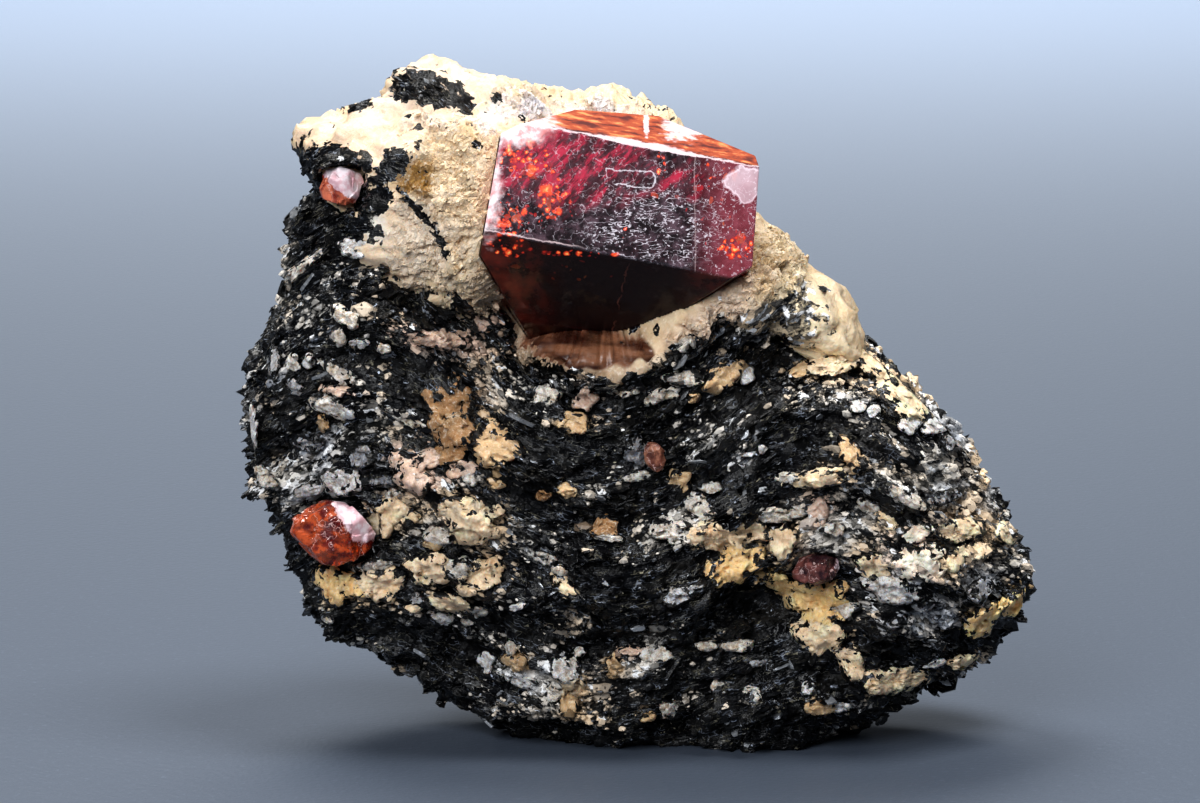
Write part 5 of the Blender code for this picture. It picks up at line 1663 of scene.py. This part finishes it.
class SPECIMEN_OT_small_zircons(bpy.types.Operator):
    """Build the four small zircons: along each way from its middle, a crystal reaches to the nearest
    of its faces, by a soft minimum that rounds its edges, less a facet here and there as a chip"""
    bl_idname = "specimen.small_zircons"
    bl_label = "Small zircons"

    def execute(self, context):
        zircon = context.scene.specimen.zircon
        ways, cells = cube_sphere(26)
        for number, node in enumerate(SMALL_ZIRCONS):
            look = zircon_look(node, zircon, small_marks(SMALL_ZIRCONS[node][0], *SMALL_LOOKS[node]))
            normals, distances, middle = solid_planes(node)
            ahead = ways @ normals.T
            reach = np.where(ahead > 0.05, distances / np.maximum(ahead, 0.05), 99)
            usual, nearest = distances.mean(), reach.min(1)
            soft = 0.03 * usual
            reach = nearest - soft * np.log(np.exp(-(reach - nearest[:, None]) / soft).sum(1))
            points = ways * reach[:, None]
            chips, _, _ = cleavage(points + number * 9.1, 0.7 * usual, 0.14, 0.03, 110)
            reach = reach + np.minimum(chips - 0.04 * usual, 0.0)
            piece = new_piece(node + "_crystal", middle + ways * reach[:, None], cells, look)
            settled(piece, "zircon", node)
        return {"FINISHED"}


def area_light(name, place, target, size, power, colour, spread=180):
    """A square light at a place, in metres, turned to a target."""
    light = bpy.data.lights.new(name, "AREA")
    light.spread = math.radians(spread)
    light.shape, light.size, light.energy, light.color = "SQUARE", size, power, colour
    lamp = bpy.data.objects.new(name, light)
    lamp.location = place
    lamp.rotation_euler = (Vector(target) - Vector(place)).to_track_quat("-Z", "Y").to_euler()
    bpy.context.scene.collection.objects.link(lamp)


class SPECIMEN_OT_stage(bpy.types.Operator):
    """Lay the floor and set the lights, the sky and the camera"""
    bl_idname = "specimen.stage"
    bl_label = "Stage"

    def execute(self, context):
        stage = context.scene.specimen.stage
        look = Look("stage_floor", stage.floor_colour)
        speckle = look.band(look.noise(0.5, 2, 40), 0.60, 0.75) * 0.3
        speckle = look.mix(speckle, stage.floor_colour, [c * 2 for c in stage.floor_colour])
        material = look.finish(look.shader(
            Base_Color=speckle, Roughness=0.45, Normal=look.bump(look.noise(0.5, 2, 41), 0.05)))
        a, b, cells = grid_square(8)
        half, drop = 3000, 0.01
        points = np.stack([a * half, b * half, 0 * a - drop], 1)
        floor = new_piece("stage_floor", points, cells, material)
        middle = (0, 0, 0.025)
        area_light("key", (-0.12, 0.14, 0.40), middle, 0.18, stage.key_power, (1, 0.98, 0.95))
        area_light("top", (0.12, -0.10, 0.42), middle, 0.16, stage.top_power, (1, 0.99, 0.97))
        area_light("fill", (-0.14, -0.44, 0.28), middle, 0.25, stage.fill_power, (0.95, 0.97, 1))
        area_light("far", (0, 1.0, 0.75), (0, 1.05, 0), 0.8, stage.far_power, (0.95, 0.98, 1), 110)
        world = bpy.data.worlds.new("studio")
        world.use_nodes = True
        sky = world.node_tree.nodes["Background"]
        sky.inputs["Color"].default_value = (*stage.sky_colour, 1)
        sky.inputs["Strength"].default_value = stage.sky_strength
        context.scene.world = world
        context.scene.view_settings.view_transform = "Standard"
        context.scene.view_settings.look = "Medium High Contrast"
        pitch, distance, aim_x, aim_z = math.radians(8), 0.42, -0.003, 0.0253
        lens = bpy.data.cameras.new("camera")
        lens.lens, lens.sensor_width, lens.clip_start = 168, 36, 0.01
        camera = bpy.data.objects.new("camera", lens)
        camera.location = (aim_x, -distance * math.cos(pitch), aim_z + distance * math.sin(pitch))
        camera.rotation_euler = (math.pi / 2 - pitch, 0, 0)
        context.scene.collection.objects.link(camera)
        context.scene.camera = camera
        return {"FINISHED"}


OPERATORS = (
    SPECIMEN_OT_rock, SPECIMEN_OT_cap, SPECIMEN_OT_lenses, SPECIMEN_OT_mica, SPECIMEN_OT_grains,
    SPECIMEN_OT_zircon, SPECIMEN_OT_small_zircons, SPECIMEN_OT_stage,
)


class SPECIMEN_PT_sidebar(bpy.types.Panel):
    """Lists the specimen's settings and the steps that build it."""
    bl_label = "Specimen"
    bl_idname = "SPECIMEN_PT_sidebar"
    bl_space_type = "VIEW_3D"
    bl_region_type = "UI"
    bl_category = "Specimen"

    def draw(self, context):
        for group in ("rock", "feldspar", "zircon", "stage"):
            settings = getattr(context.scene.specimen, group)
            box = self.layout.box()
            for name in settings.bl_rna.properties.keys():
                if name not in ("rna_type", "name"):
                    box.prop(settings, name)
        for operator in OPERATORS:
            self.layout.operator(operator.bl_idname)


CLASSES = (
    RockSettings, FeldsparSettings, ZirconSettings, StageSettings, Specimen,
    *OPERATORS, SPECIMEN_PT_sidebar,
)


def register():
    for cls in CLASSES:
        bpy.utils.register_class(cls)
    bpy.types.Scene.specimen = PointerProperty(type=Specimen)


def unregister():
    del bpy.types.Scene.specimen
    for cls in reversed(CLASSES):
        bpy.utils.unregister_class(cls)


def main():
    register()
    for operator in OPERATORS:
        group, name = operator.bl_idname.split(".")
        getattr(getattr(bpy.ops, group), name)()
    bpy.context.view_layer.update()


if __name__ == "__main__":
    main()
